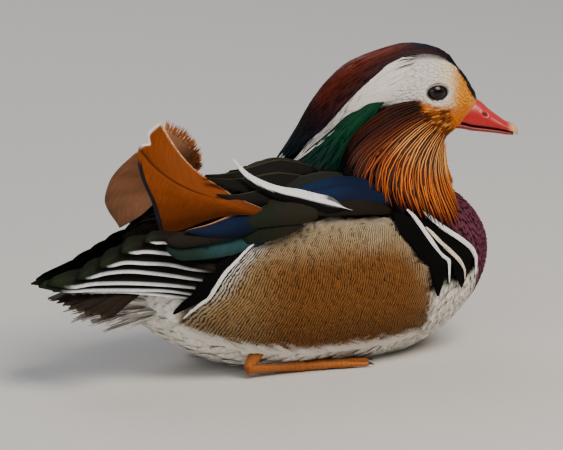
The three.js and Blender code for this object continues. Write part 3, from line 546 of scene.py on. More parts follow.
def feather_material(name, pitch=0.55, grain=0.14, bump=0.25, roughness=0.6, sheen=0.2, specular=0.4):
    """Keratin vanes: colour from the points, barbs a pitch in mm apart, grain as their contrast."""
    material, tree = fresh(name)
    tint = node(tree, "Attribute", attribute_name="Tint")
    wave, streak = barbs(tree, pitch)
    barb_shade = node(tree, "Math", {0: wave, 1: grain, 2: 1.0}, operation="MULTIPLY_ADD")
    streak_shade = node(tree, "Math", {0: streak, 1: 0.9, 2: 0.55}, operation="MULTIPLY_ADD")
    shade = node(tree, "Math", {0: barb_shade, 1: streak_shade}, operation="MULTIPLY")
    colour = node(tree, "VectorMath", {0: tint, 1: shade}, operation="MULTIPLY")
    finish_material(
        tree, colour, wave, bump, Roughness=roughness, Sheen_Weight=sheen, Sheen_Roughness=0.4,
        Specular_IOR_Level=specular, IOR=1.54,
    )
    return material


SOFT_FEATHER = feather_material("Soft_Contour_Feather", roughness=0.85, sheen=0.01, specular=0.06)
SILK_FEATHER = feather_material("Silky_Crest_Feather", 0.8, 0.08, roughness=0.42, sheen=0.0, specular=0.14)
HACKLE_FEATHER = feather_material("Hackle_Feather", 0.7, 0.1, roughness=0.5, sheen=0.0, specular=0.18)
FLIGHT = feather_material("Flight_Quill_Vane", 0.6, 0.12, roughness=0.6, sheen=0.0, specular=0.08)
PLUSH = feather_material("Face_Plush", 0.5, 0.05, bump=0.1, roughness=0.9, sheen=0.01, specular=0.05)
print("materials:", len(bpy.data.materials))

# %% [markdown]
# ## Markings
# The drake's plumage is read as regions: golden flanks ruled off by black and white bars, a maroon
# breast, a white hull, and a dark back. On the head a white patch runs from the eye to the nape between
# the crown above and the green and orange below. Each border is a curve in the surface's own numbers, so
# the skin, and every feather on it, takes its colour from the same place.

# %% Colours of the body
WHITE = linear("#f0ebe3")
BELLY = linear("#e6dfd3")
MAROON = linear("#643444")
MAROON_DEEP = linear("#42202e")
BLACK = linear("#080707")
OLIVE = linear("#1a160e")
OLIVE_DARK = linear("#0f0d08")
BUFF = linear("#98764a")
GOLD = linear("#7e4e1b")
GREY_BUFF = linear("#ab9a7a")
flank_edge = track(
    [-88, -83, -78.8, -70.2, -62.3, -52.5, -37.5, -20, -4.7, 5.3, 14, 28.8, 33, 44, 52, 59, 66],
    [68, 79.7, 85.7, 102.4, 111.7, 121.4, 127.9, 128.6, 130, 128.4, 124.4, 123.8, 119.8, 108, 98, 90, 78],
)
rear_edge = track(
    [50, 68, 79.7, 85.7, 102.4, 111.7, 121.4, 127.9, 131],
    [-92, -88, -83, -78.8, -70.2, -62.3, -52.5, -37.5, -30],
)
bar_rear = track([95.2, 99.3, 103.9, 114.5, 125.6, 133], [65.3, 59.7, 55.9, 49.7, 44.3, 40.5])
bar_middle = track([88, 94.8, 106.6, 117.2], [78, 72.2, 59.8, 51.1])
bar_front = track([92, 98.8, 105.6, 112, 117.2, 126.8], [89, 84.7, 76.7, 68, 61.1, 52.3])


def body_tint(x, angle, z):
    """The coat's colour at a place on the body, angle in degrees on either side."""
    angle = np.abs(angle)
    ragged = 0.9 * np.sin(x * 1.9 + angle * 0.7) + 0.7 * np.sin(angle * 1.3 - x * 0.8)
    flank = smooth(3, -3, angle - flank_edge(x) + ragged * 0.5)
    flank = flank * smooth(50, 57, angle + ragged * 1.5) * smooth(-0.8, 0.8, x - rear_edge(angle))
    flank = flank * smooth(1.5, -1.5, x - bar_rear(angle) + 11 + ragged * 0.5)
    gold = hump(-30, 34, x, 40) * hump(50, 98, angle, 16)
    # The buff and gold darken lower down the side: painted shade on the underside of the flank.
    warm = paint(BUFF, (GOLD, gold)) * mix(0.72, 1.0, smooth(56, 84, angle))[..., None]
    bars = smooth(-1.5, 1.0, x - bar_rear(angle) + 13 + ragged * 0.3) * smooth(78, 84, angle) * (x > 20)
    low_breast = smooth(12, 30, z + ragged * 1.5)
    breast = smooth(-1, 1.5, x - bar_front(angle) - 4 + ragged * 0.3) * smooth(40, 58, x)
    breast = np.maximum(breast, smooth(80, 88, z) * smooth(36, 42, x))
    return paint(
        BELLY,
        (WHITE, smooth(-60, -95, x) * smooth(70, 95, angle) * 0.6),
        (OLIVE, smooth(-3, 3, angle - np.maximum(flank_edge(x), 100) + ragged * 0.6)),
        (paint(warm, (GREY_BUFF, smooth(-24, -2, angle - flank_edge(x)) * 0.8)), flank),
        (BLACK, bars * (1 - smooth(133, 139, angle))),
        (paint(MAROON, (MAROON_DEEP, smooth(60, 90, z) * 0.6)), breast * low_breast),
    )


print("flank ends at x =", rear_edge(90.0).round(1), "on the side")

# %% [markdown]
# ## Colours of the head
# Seen from the side the borders of the face run like this: the crown's edge climbs from the bill to above
# the eye and then sweeps down with the crest, the white patch lies under it, and below the white comes
# orange at the front and green behind.

# %% Borders and colours of the head
FACE_WHITE = linear("#dfd6cd")
FACE_CREAM = linear("#f0d49c")
FACE_ORANGE = linear("#d87514")
FACE_GOLD = linear("#d88c22")
CHEEK_BROWN = linear("#6e300a")
CROWN_BLUE = linear("#0a0d18")
CROWN_MAROON = linear("#38140d")
CREST_TEAL = linear("#06201f")
NAPE_GREEN = linear("#052418")
# Dark rust under the ruff, kept dark so that the gaps between hackles read as painted shade.
RUFF_DARK = linear("#240c05")
crown_width = track(
    [-70, -41.6, -24.3, -17.7, -8.6, 3.7, 17.7, 28.3, 34, 40],
    [20, 17.5, 18, 15, 11.2, 7.4, 4.6, 2.2, 1.7, 1.4],
)
crown_low = track(
    [-70, -58, -49.7, -41.6, -36.8, -30.9, -24.3, -17.7, -8.6, 3.7, 17.7, 28.3, 40],
    [99, 108, 115.8, 122.7, 128.3, 135.4, 143, 149.3, 155.2, 160.2, 159.6, 153, 134],
)
white_low = track(
    [-70, -50, -39.5, -30.9, -23.3, -16.3, -5.5, 6.8, 11.4, 20, 30],
    [97, 112.5, 120.6, 130.1, 133.9, 136.4, 136.8, 138.2, 137.4, 134, 132],
)
green_front = track([100, 103, 109, 115.3, 123.4, 130, 136], [-36, -33.3, -29.7, -25.9, -22.2, -18, -12])
EYE = np.array([18.6, 15.9, 140.6])
EYE_LENGTH = 10.6
EYE_HEIGHT = 7.6

print("crown edge over the eye:", crown_low(EYE[0]).round(1), "mm up")

# %% Head markings


def eye_distance(local):
    """Distance from the middle of the eye in side view, 1 at the edge of its opening."""
    da = (local[..., 0] - EYE[0]) / (EYE_LENGTH / 2)
    dz = (local[..., 2] - EYE[2]) / (EYE_HEIGHT / 2)
    return np.sqrt(da**2 + dz**2)


def head_tint(local):
    """The coat's colour at a place on the head, given from the neck axis along the head's own line."""
    a, b, z = local[..., 0], np.abs(local[..., 1]), local[..., 2]
    ragged = 0.5 * np.sin(a * 2.1 + z) + 0.4 * np.sin(z * 2.7 - b)
    above = z - crown_low(a)
    below = paint(
        RUFF_DARK,
        (FACE_ORANGE, smooth(2, 16, a + ragged)),
        (NAPE_GREEN, smooth(1.5, -2.5, a - green_front(z) + ragged)),
    )
    ring = smooth(1.62, 1.4, eye_distance(local + np.array([0.3, 0.0, 0.9]))) * smooth(33, 27, a)
    crown = smooth(-0.8, 0.8, above + ragged * 0.3) * smooth(-8, 4, a)
    on_top = smooth(0.8, -0.8, b - crown_width(a)) * smooth(-60, -12, a - 40 + z * 0.3) * (z > 130)
    crown = np.maximum(crown, on_top)
    crown = np.maximum(crown, smooth(-0.8, 0.8, above) * smooth(6, -4, a))
    maroon = np.maximum(smooth(8, -14, a), smooth(5, 2, above) * smooth(24, 12, a))
    return paint(
        FACE_WHITE,
        (FACE_CREAM, smooth(12, 27, a + 0.25 * (140 - z) + ragged) * 0.75),
        (FACE_GOLD, smooth(24, 33, a + 0.12 * (146 - z) + ragged)),
        (below, smooth(1.5, -3.5, z - white_low(a) + ragged)),
        (FACE_ORANGE, smooth(27, 34, a) * smooth(136, 131, z) * 0.7),
        (CHEEK_BROWN, hump(9, 23, a, 6) * hump(112, 129, z, 5) * 0.85),
        (FACE_WHITE, ring),
        (paint(CROWN_BLUE, (CROWN_MAROON, maroon)), crown),
    )


print("eye opening:", EYE_LENGTH, "by", EYE_HEIGHT, "mm")

# %% [markdown]
# ## The skin
# Under the plumage one skin runs from the bill to the tail. Three closed forms, the body, the head with
# its neck and the low core of the crest, are melted into one with a voxel remesh and then smoothed, so
# that no seam shows where they meet. It lies inside the solids by the depth of the coat.

# %% Melting forms into one
COAT_DEPTH = 1.2
HEAD_COAT = 0.25
VOXEL = 1.5 * MM


def closed_tube(rings):
    """Points and faces of a tube through rings of shape (rows, corners, 3), closed at both ends."""
    rows, corners, _ = rings.shape
    row = np.arange(rows - 1)[:, None] * corners
    k = np.arange(corners)[None, :]
    after = (k + 1) % corners
    sides = join(row + k, row + after, row + corners + after, row + corners + k)
    first = np.arange(corners)[::-1][None]
    last = ((rows - 1) * corners + np.arange(corners))[None]
    return rings.reshape(-1, 3), [sides.reshape(-1, 4), first, last]


def together(parts):
    """Joins parts given as points and faces into one."""
    points = []
    groups = {}
    shift = 0
    for part_points, part_faces in parts:
        points.append(part_points)
        for group in outward(part_points, part_faces):
            groups.setdefault(group.shape[1], []).append(group + shift)
        shift += len(part_points)
    return np.concatenate(points), [np.concatenate(groups[size]) for size in sorted(groups)]


def melted(name, parts, voxel, smoothing):
    """One skin over several closed forms."""
    points, faces = together(parts)
    mesh = bpy.data.meshes.new(name)
    mesh.from_pydata(to_frame(points).tolist(), [], [f for group in faces for f in group.tolist()])
    form = show(name, mesh)
    remesh = form.modifiers.new("Melt", "REMESH")
    remesh.mode = "VOXEL"
    remesh.voxel_size = voxel
    soften = form.modifiers.new("Soften", "SMOOTH")
    soften.factor = 0.5
    soften.iterations = smoothing
    done = bpy.data.meshes.new_from_object(form.evaluated_get(bpy.context.evaluated_depsgraph_get()))
    bpy.data.objects.remove(form)
    co = np.empty(len(done.vertices) * 3, np.float32)
    done.vertices.foreach_get("co", co)
    quads = [list(face.vertices) for face in done.polygons if len(face.vertices) == 4]
    rest = [list(face.vertices) for face in done.polygons if len(face.vertices) == 3]
    faces = [np.array(group) for group in (quads, rest) if group]
    bpy.data.meshes.remove(done)
    return co.reshape(-1, 3) / MM - SHIFT, faces


print("remesh cell:", VOXEL / MM, "mm")

# %% Places and colours on the skin


def skin_place(part, a, b):
    """Where a place lies on the unwrapped skin. The body takes the lower half, head and crest the upper."""
    if part == "body":
        return join(0.02 + (a + 125) / 245 * 0.96, 0.26 + b / 360 * 0.46)
    if part == "head":
        return join(0.26 + b / 360 * 0.44, 0.53 + (a - 40) / 130 * 0.44)
    return join(0.76 + b / 360 * 0.44, 0.53 + a * 0.44)


def coat_tint(points):
    """The plumage's colour at any place on the bird."""
    x, y, z = points[..., 0], points[..., 1], points[..., 2]
    on_head = smooth(97, 104, z) * smooth(14, 22, x)
    tone = body_tint(x, body_angle(points), z)
    return paint(tone, (head_tint(straight(points)), on_head))


print("skin feathers lie", COAT_DEPTH, "mm over the body and", HEAD_COAT, "mm over the head")

# %% Skin
CORE_OUTER = -1.3
CORE_INNER = -6.5
SOCKET_DEPTH = 4.5
turns = np.linspace(0, 360, 121)[:-1]
body_form = body(np.linspace(-121, 110, 160)[:, None], turns, -COAT_DEPTH)
head_form = head(np.linspace(62, 159.4, 80)[:, None], turns, -HEAD_COAT)
core_t = np.linspace(0.05, 0.82, 44)[:, None]
core_reach = track([0, 0.3, 0.45, 0.6, 0.82], [30, 36, 62, 84, 78])(core_t)
core_across = np.linspace(-1, 1, 25)
core_outer = crest_local(core_t, core_across * core_reach, CORE_OUTER)
core_inner = crest_local(core_t, core_across[::-1] * core_reach * 0.95, CORE_INNER)
core_rings = np.concatenate([core_outer, core_inner], axis=1)
forms = [closed_tube(body_form), closed_tube(head_form), closed_tube(turned(core_rings))]
skin_points, skin_faces = melted("skin_form", forms, VOXEL, 5)
skin_local = straight(skin_points)
socket = smooth(1.16, 0.98, eye_distance(skin_local)) * (np.abs(skin_local[:, 1]) > 9)
skin_local[:, 1] -= np.sign(skin_local[:, 1]) * SOCKET_DEPTH * socket
skin_points = turned(skin_local)


def neck_angle(points):
    """The angle round the neck axis of places near the head."""
    local = straight(points)
    return np.degrees(np.arctan2(local[..., 1], local[..., 0]))


skin_bake = []
for group in skin_faces:
    corners = skin_points[group]
    middle = corners.mean(axis=1)
    wrap = neck_angle(middle)[:, None]
    turn = wrap + wrapped(neck_angle(corners) - wrap)
    wrap = body_angle(middle)[:, None]
    round_body = wrap + wrapped(body_angle(corners) - wrap)
    on_head = (middle[:, 2] > 100)[:, None, None]
    head_part = skin_place("head", corners[..., 2], turn)
    place = np.where(on_head, head_part, skin_place("body", corners[..., 0], round_body))
    skin_bake.append(place.reshape(-1, 2))
SKIN_FEATHER = feather_material("Skin_Under_Down", grain=0.0, bump=0.0, roughness=0.85, sheen=0.2)
# The skin is painted darker than the coat over it, most on the body and a little on the head: painted shade
# for the gaps between feathers.
build(
    "skin", skin_points, skin_faces, SKIN_FEATHER, ("torso", "breast", "neck", "head"),
    tint=coat_tint(skin_points) * mix(0.7, 0.95, smooth(104, 112, skin_points[:, 2:])),
    bake=np.concatenate(skin_bake),
)

# %% [markdown]
# ## Belly, rump and breast
# A contour feather is rounded, cupped and soft, and only its last third shows. They are laid in staggered
# rows from the tail forward. The breast wears the smallest, so close that it looks like velvet, and the
# white hull has longer ones.

# %% Outlines and colours of feathers


def contour(t):
    """Outline of a rounded feather, as a share of its half width."""
    return np.sqrt(np.clip(1 - ((t - 0.55) / 0.47) ** 2, 0.05, 1))


def strand(t):
    """Outline of a long narrow plume with a soft point."""
    return np.sqrt(np.clip(t * 5 + 0.2, 0, 1)) * np.clip((1.03 - t) / 0.45, 0.12, 1) ** 0.8


def outside_head(points, margin):
    """Whether places lie outside the neck and head by a margin in mm."""
    local = straight(points)
    z = points[..., 2]
    reach = np.where(local[..., 0] > 0, head_front(z), head_back(z)) + margin
    side = head_half(z) + margin
    inside = (local[..., 0] / reach) ** 2 + (local[..., 1] / side) ** 2 < 1
    return ~(inside & (z > 60))


def varied(made, tone, light, vary, under):
    """Feather colours with a light factor along each, a chance tone for each, and painted shade on the
    undersides.
    """
    each = 1 + dice.normal(0, vary, (len(made["points"]), 1, 1, 1))
    # Undersides are darkened by the share given as under: painted shade.
    below = 1 - under * (1 - made["top"])[:, None]
    return np.clip(tone * light * each * below, 0, 1)


def shaded(made, jitter=0.8, dark=0.8, vary=0.07, tip=1.06):
    """Feather colours from their place on the bird, with painted shade at the root, where the row above
    covers it, and a little painted light at the tip.
    """
    shift = dice.normal(0, jitter, (len(made["points"]), 1, 1, 3))
    # The root is darkened as painted shade and the tip lightened as painted light.
    light = mix(dark, tip, smooth(0.0, 0.85, made["t"][..., None]))
    return varied(made, coat_tint(made["points"] + shift), light, vary, 0.2)


def dress(surface, part, a, b, heading, length, width, rows, low, high, shape=contour, **form):
    """Feather solids on a surface, with their places on the unwrapped skin."""
    centre, out, t = lay(surface, a, b, heading, length, rows, low, high)
    made = vanes(centre, out, width, shape(t), **form)
    return made, skin_place(part, a, b)


BACKWARD = np.array([-1.0, 0.0, 0.0])
print("a feather's edge halfway:", contour(0.5).round(2))

# %% Belly
x, angle = rows_of_roots(np.arange(-112, 44, 5.2), lambda x: 2.6 * (body_half(x) + 8), 5.4, -62, 62)
size = 1 + dice.normal(0, 0.08, len(x))
belly, place = dress(body, "body", x, angle, BACKWARD, 16 * size, 8 * size, 5, -0.7, 0.45, thick=0.2)
feathers("belly_coat", belly, shaded(belly), place, SOFT_FEATHER)

# %% Rump
x, angle = rows_of_roots(np.arange(-117, -80, 3.6), lambda x: 3 * (body_half(x) + 8), 4.2, 60, 300)
angle = wrapped(angle)
keep = (np.abs(angle) > 60) & (x < -86 + 0.1 * (np.abs(angle) - 60))
x, angle = x[keep], angle[keep]
size = np.ones(len(x))
rump, place = dress(body, "body", x, angle, BACKWARD, 12.0 * size, 6.0 * size, 5, -0.7, 0.6)
feathers("rump_coat", rump, shaded(rump), place, SOFT_FEATHER)

# %% Breast
x, angle = rows_of_roots(np.arange(36, 101, 2.1), lambda x: 3.1 * (body_half(x) + 4), 2.6)
keep = outside_head(body(x, angle, 0.0), -3) & ((x > 52) | (np.abs(angle) < 62) | (np.abs(angle) > 84))
x, angle = x[keep], angle[keep]
size = (1 + dice.normal(0, 0.1, len(x))) * mix(1.0, 0.8, smooth(60, 90, x))
down = smooth(64, 96, x)
aside = np.clip(body(x, angle)[:, 1] / 20, -1, 1) * mix(0.15, 0.3, down)
heading = join(down - 1, aside, mix(-0.55, -1.0, down))
breast, place = dress(body, "body", x, angle, heading, 9.0 * size, 4.4 * size, 4, -0.7, 0.6)
feathers("breast_coat", breast, shaded(breast, 0.6), place, SOFT_FEATHER)

# %% Front of the breast


def bow(y, z, height=0.0):
    """The front of the breast, reached by its place across and up instead of along and round."""
    inside, beyond = np.full(np.shape(y), 60.0), np.full(np.shape(y), 111.0)
    for _ in range(16):
        x = (inside + beyond) / 2
        middle, reach = body_reach(x, z)
        out = (np.abs(y) / body_half(x)) ** SQUARE + (np.abs(z - middle) / reach) ** SQUARE > 1
        inside, beyond = np.where(out, inside, x), np.where(out, x, beyond)
    away = unit(join((inside - 60) / 40, y / 35, (z - 51) / 35))
    return join(inside, y, z) + away * np.asarray(height)[..., None]


z, y = rows_of_roots(np.arange(22.0, 86.0, 2.2), lambda z: 360.0, 2.4, -27.0, 27.0)
y, z = y[bow(y, z)[:, 0] > 94], z[bow(y, z)[:, 0] > 94]
size = 1 + dice.normal(0, 0.1, len(y))
heading = join(0.0, y * 0.012, -1.0)
centre, out, t = lay(bow, y, z, heading, 7.4 * size, 4, -0.7, 0.6)
front = vanes(centre, out, 3.7 * size, contour(t))
root = centre[:, 0]
place = skin_place("body", root[:, 0], body_angle(root))
feathers("breast_front_coat", front, shaded(front, 0.6), place, SOFT_FEATHER)

# %% [markdown]
# ## Flanks
# The drake's side is a folded sheet of long golden-buff feathers. Fine dark lines cross them, wavy and
# close together. They are drawn a little over a millimetre apart, slightly coarser than on the real bird,
# so that the picture can hold them. The lines have to run on from feather to feather, so their phase comes
# from the place on the body, and each feather only shifts it slightly.

# %% Flank material
LINE_PITCH = 1.3


def flank_material():
    material, tree = fresh("Vermiculated_Flank_Feather")
    tint = node(tree, "Attribute", attribute_name="Tint")
    lie = node(tree, "Attribute", attribute_name="Lie").outputs["Fac"]
    place = node(tree, "TexCoord").outputs["Object"]
    sway = node(tree, "TexNoise", {"Vector": place, "Scale": 230.0, "Detail": 2.0, "Roughness": 0.6})
    phase = node(tree, "Math", {0: sway, 1: 2.6, 2: lie}, operation="MULTIPLY_ADD")
    turn = node(tree, "Math", {0: phase, 1: 2 * math.pi / LINE_PITCH}, operation="MULTIPLY")
    wave = node(tree, "Math", {0: turn}, operation="SINE")
    ink = node(tree, "MapRange", {0: wave, 1: -0.15, 2: 0.75}, interpolation_type="SMOOTHSTEP")
    patches = node(tree, "TexNoise", {"Vector": place, "Scale": 240.0, "Detail": 1.0})
    broken = node(tree, "MapRange", {0: patches, 1: 0.1, 2: 0.42})
    ink = node(tree, "Math", {0: ink, 1: broken}, operation="MULTIPLY")
    ink = node(tree, "Math", {0: ink, 1: tint.outputs["Alpha"]}, operation="MULTIPLY", use_clamp=True)
    wave_fine, streak = barbs(tree, 0.5)
    shade = node(tree, "Math", {0: wave_fine, 1: 0.1, 2: 1.0}, operation="MULTIPLY_ADD")
    ground = node(tree, "VectorMath", {0: tint, 1: shade}, operation="MULTIPLY")
    lines = node(tree, "Mix", {0: ink, 6: ground, 7: (*linear("#140c06"), 1)}, data_type="RGBA")
    finish_material(
        tree, lines.outputs[2], wave_fine, 0.2, Roughness=0.7, Sheen_Weight=0.02, Sheen_Roughness=0.4,
        Specular_IOR_Level=0.15, IOR=1.54,
    )
    return material


FLANK_FEATHER = flank_material()
print("lines on the flank are", LINE_PITCH, "mm apart")

# %% Flank coats


def flank_girth(x):
    return 3.2 * (body_half(x) + 4)


for side, label in SIDES:
    x, angle = rows_of_roots(np.arange(-84, 60, 2.8), flank_girth, 2.9, 50, 131, 0.25)
    front = bar_rear(angle) - 12.5
    keep = (angle < flank_edge(x) + 1) & (angle > 50) & (x > rear_edge(angle) + 3.5) & (x < front)
    x, angle = x[keep], angle[keep]
    count = len(x)
    fall = mix(0.1, -0.12, smooth(60, 115, angle))
    heading = join(-1.0, 0.0, fall)
    size = 1 + dice.normal(0, 0.1, count)
    reach = np.minimum(20 * size, (x - rear_edge(angle)) * 1.02)
    level = 0.1 * dice.random((count, 1))
    flank, place = dress(
        body, "body", x, angle * side, heading, reach, 7.5 * size, 6, 1.25 + 0 * level, 1.5 + level, strand,
        cup=0.0, thick=0.05,
    )
    points = flank["points"]
    around = np.abs(body_angle(points))
    behind = points[..., 0] - rear_edge(around)
    lie = 0.45 * behind + 58 * behind / (bar_rear(around) - 13 - rear_edge(around))
    lie = lie + 4.5 * np.exp(-behind / 9)
    tint = shaded(flank, 0.8, 0.97, vary=0.03, tip=1.02)
    pale = smooth(13, 2, behind) * smooth(78, 104, around)
    tint = paint(tint, ("#e4e0da", pale * 0.75))
    strength = mix(0.85, 1.6, pale) * smooth(50, 60, around)
    tint = np.concatenate([tint, strength[..., None]], axis=-1)
    feathers(
        f"flank_coat_{label}", flank, tint, place, FLANK_FEATHER, (f"flank_{label}",),
        lie=lie,
    )

# %% [markdown]
# ## Ruled edges and bars
# Two drawings on the side are ruled sharply: the white line with its black border behind the flank, and
# the black and white bars in front of it. Each is a bundle of fine plumes laid along a curve on the body.

# %% Plumes along a curve
BAR_ROWS = 9


def bundle(across, low, high, half, count, share, width, height):
    """Plumes along a curve. Across gives x for an angle, half is how far they spread to each side in mm."""
    start = dice.random(count) * (1 - share * 0.6) - share * 0.2
    s = np.linspace(0, 1, BAR_ROWS)
    w = np.clip(start[:, None] + share * s, 0, 1)
    angle = mix(high, low, w)
    side = (np.arange(count) + 0.5) / count * 2 - 1 + dice.normal(0, 0.07, count)
    taper = np.sqrt(np.clip(4 * w, 0, 1)) * np.clip(2.5 * (1 - w), 0.05, 1)
    x = across(angle) + side[:, None] * half * taper
    return x, angle, mix(height - 0.8, height, smooth(0, 0.4, s)) + 0.4 * dice.random((count, 1)), width


def bar(name, parts, side):
    centres, outs, widths, tones = [], [], [], []
    for across, low, high, half, count, share, width, height, tone in parts:
        x, angle, level, wide = bundle(across, low, high, half, count, share, width, height)
        centres.append(body(x, angle * side, level))
        outs.append(normals(body, x, angle * side, level))
        widths.append(np.full(count, wide) * (1 + dice.normal(0, 0.12, count)))
        tones.append(np.broadcast_to(tone, (count, 3)) * (1 + dice.normal(0, 0.04, (count, 1))))
    centre = np.concatenate(centres)
    s = np.linspace(0, 1, centre.shape[1])
    made = vanes(centre, np.concatenate(outs), np.concatenate(widths), strand(s), 0.3, 0.3)
    tint = np.concatenate(tones)[:, None, None] * np.ones(made["points"].shape)
    root = centre[:, 0]
    place = skin_place("body", root[:, 0], body_angle(root))
    feathers(name, made, np.clip(tint, 0, 1), place, SOFT_FEATHER)


print("rows along a plume of a bar:", BAR_ROWS)

# %% Border and bars
BRIGHT = linear("#f6f2ec")
CREAM = linear("#e9dcc2")
for side, label in SIDES:
    edge = [
        (lambda w: rear_edge(w) - 4.6, 64, 131, 3.4, 130, 0.3, 1.6, 2.6, BLACK),
        (lambda w: rear_edge(w) - 0.2, 64, 131, 0.5, 26, 0.35, 1.2, 3.5, BRIGHT),
    ]
    bar(f"flank_border_{label}", edge, side)
    bars = [
        (lambda w: bar_rear(w) - 7.6, 78, 128, 7.0, 170, 0.35, 1.9, 2.0, BLACK),
        (lambda w: (bar_rear(w) + bar_front(w)) / 2, 76, 130, 11.0, 260, 0.35, 1.9, 1.5, BLACK),
        (bar_rear, 84, 130, 1.0, 34, 0.4, 1.2, 2.6, BRIGHT),
        (bar_middle, 82, 117, 1.1, 34, 0.4, 1.2, 2.7, CREAM),
        (bar_front, 80, 128, 1.7, 54, 0.4, 1.2, 2.8, BRIGHT),
    ]
    bar(f"breast_bars_{label}", bars, side)

# %% [markdown]
# ## The face
# A duck's face is plush: feathers a few millimetres long, so fine and close that they read as velvet.
# They start at the bill and flow back round the eye. Small narrow tufts do this well, each coloured from
# its place, so that the borders between white, gold and orange stay crisp but a little ragged.

# %% Face plush


def head_turned(vectors):
    c, s = math.cos(HEAD_TURN), math.sin(HEAD_TURN)
    a, b, z = vectors[..., 0], vectors[..., 1], vectors[..., 2]
    return join(a * c - b * s, a * s + b * c, z)


def head_girth(z):
    return 1.55 * (head_half(z) * 2 + head_front(z) + head_back(z)) / 2 * 1.02


def bill_share(z):
    """How far forward the feathers reach beside the bill."""
    return np.interp(z, [100, 112, 116, 121, 126, 131, 135.5, 140], [60, 25, 30, 33.5, 35, 37.2, 39.5, 60])


z, angle = rows_of_roots(np.arange(75, 159.6, 1.2), head_girth, 1.2, loose=0.4)
local = head_local(z, angle)
a, b = local[..., 0], np.abs(local[..., 1])
keep = (eye_distance(local) > np.where(a > EYE[0], 1.3, 1.16)) & (a < bill_share(z) + 0.3)
keep = keep & ~((b < 9.5) & (a > 30) & (z < 134) & (z > 116))
covered = (a < crest_local(0.75, 0.0)[0] + 60) & (z > crown_low(a) + 6)
keep = keep & ~covered & (a > -34 + 0.12 * (140 - z)) & ((z > 112) | (a > 8))
z, angle, local, a = z[keep], angle[keep], local[keep], a[keep]
count = len(z)
rise = 0.8 * smooth(8, 34, a) * smooth(126, 140, z) - 0.9 * smooth(8, 30, a) * smooth(134, 120, z)
rise = rise - 0.4 * smooth(6, -28, a)
heading = head_turned(join(-1.0, 0.0, rise))
near_eye = smooth(2.6, 1.2, eye_distance(local))
low_neck = smooth(104, 86, z)
reach = mix(2.6, 5.2, smooth(34, 5, a)) * mix(1.0, 0.5, near_eye) * (1 + dice.normal(0, 0.1, count))
reach = reach * mix(1.0, 1.7, low_neck)
wide = mix(1.0, 1.3, smooth(34, 0, a)) * mix(1.0, 0.8, near_eye) * mix(1.0, 1.8, low_neck)
face, place = dress(head, "head", z, angle, heading, reach, wide, 4, 0.0, 0.09, strand, thick=0.03, cup=0.05)
tint = shaded(face, 0.3, 0.97, vary=0.03, tip=1.02)
speck = (hump(11, 26, a, 4) * hump(114, 131.5, z, 3))[:, None, None]
pick = dice.random((count, 1, 1, 1))[..., 0]
tint = paint(
    tint,
    ("#3a1606", speck * (pick < 0.45) * 0.7),
    ("#f0a850", speck * (pick > 0.75) * 0.5),
)
feathers("face_coat", face, tint, place, PLUSH)

# %% [markdown]
# ## Crest
# The crest is a fall of long silky feathers from the brow over the nape. Strands lie side by side and
# take the same bend, so the light runs over them in one long gleam. They are steered by the lower edge
# of the crown: each strand keeps its share of the way from the ridge to that edge. White strands come
# next below it, then the green ones of the nape.

# %% Strands along the crest
CROWN_EDGE = track(
    [0, 0.025, 0.072, 0.18, 0.24, 0.288, 0.348, 0.38, 0.43, 0.52, 0.61, 0.688, 0.75, 0.823, 0.9, 1],
    [14, 22, 33, 38.5, 40.2, 43.2, 46.2, 48.8, 57.8, 64.2, 66.5, 65, 62.8, 54, 50, 44],
)
WHITE_EDGE = track(
    [0, 0.335, 0.38, 0.425, 0.465, 0.57, 0.647, 0.753, 0.83, 0.92, 1],
    [114, 112, 108, 97, 93, 86, 76.5, 70.8, 61, 52, 45],
)


def strands(t0, t1, share, low_edge, high_edge, width, rise, rows=8, wander=1.5, sink=0.0):
    """Strands along the crest, each at its share of the way between two edges given as angles."""
    s = np.linspace(0, 1, rows)
    t = t0[:, None] + (t1 - t0)[:, None] * s
    sway = dice.normal(0, wander, (len(t0), 1)) * (s - 0.2) + dice.normal(0, wander / 2, (len(t0), 1))
    angle = mix(low_edge(t), high_edge(t), np.abs(share)[:, None]) + sway
    angle = angle * np.where(share < 0, -1, 1)[:, None]
    height = mix(-0.5, 1.0, s**0.8) * rise[:, None] - 2.8 * smooth(0.07, 0.0, t)
    height = height - np.reshape(sink, (-1, 1)) * smooth(0.3, 0.0, s)
    centre = crest(t, angle, height)
    step = crest(t, angle + 2.0, height) - crest(t, angle - 2.0, height)
    normal = unit(np.cross(np.gradient(centre, axis=1), step))
    made = vanes(centre, facing_out(normal, crest, t, angle, height), width, strand(s), cup=0.3, thick=0.35)
    made["t_crest"] = t
    return made, skin_place("crest", t0, angle[:, 0])


def staggered(per_row):
    """Shares of the way across for rows of strands, each row half a step on from the last."""
    return np.concatenate([(np.arange(n) + 0.25 + 0.5 * (i % 2)) / n for i, n in enumerate(per_row)])


def strand_tint(made, tone, vary=0.14, ridge=1.25, edge=0.75, root=0.7):
    """Strand colours: a light ridge, darker edges, and a dark root that is painted shade."""
    across = np.abs(made["q"])[:, None]
    # The dark root is painted shade where the strands leave the skin.
    light = mix(ridge, edge, across) * mix(root, 1.0, smooth(0, 0.3, made["t"][..., None]))
    return varied(made, tone, light, vary, 0.4)


print("the crown reaches", CROWN_EDGE(0.5).round(1), "degrees from the ridge halfway")

# %% Crown strands
CROWN_NAVY = linear("#0c101f")
CROWN_TEAL = linear("#0a2024")
CROWN_CHESTNUT = linear("#5c1d09")
CROWN_WINE = linear("#2b0d0a")
CROWN_DUSK = linear("#12101a")


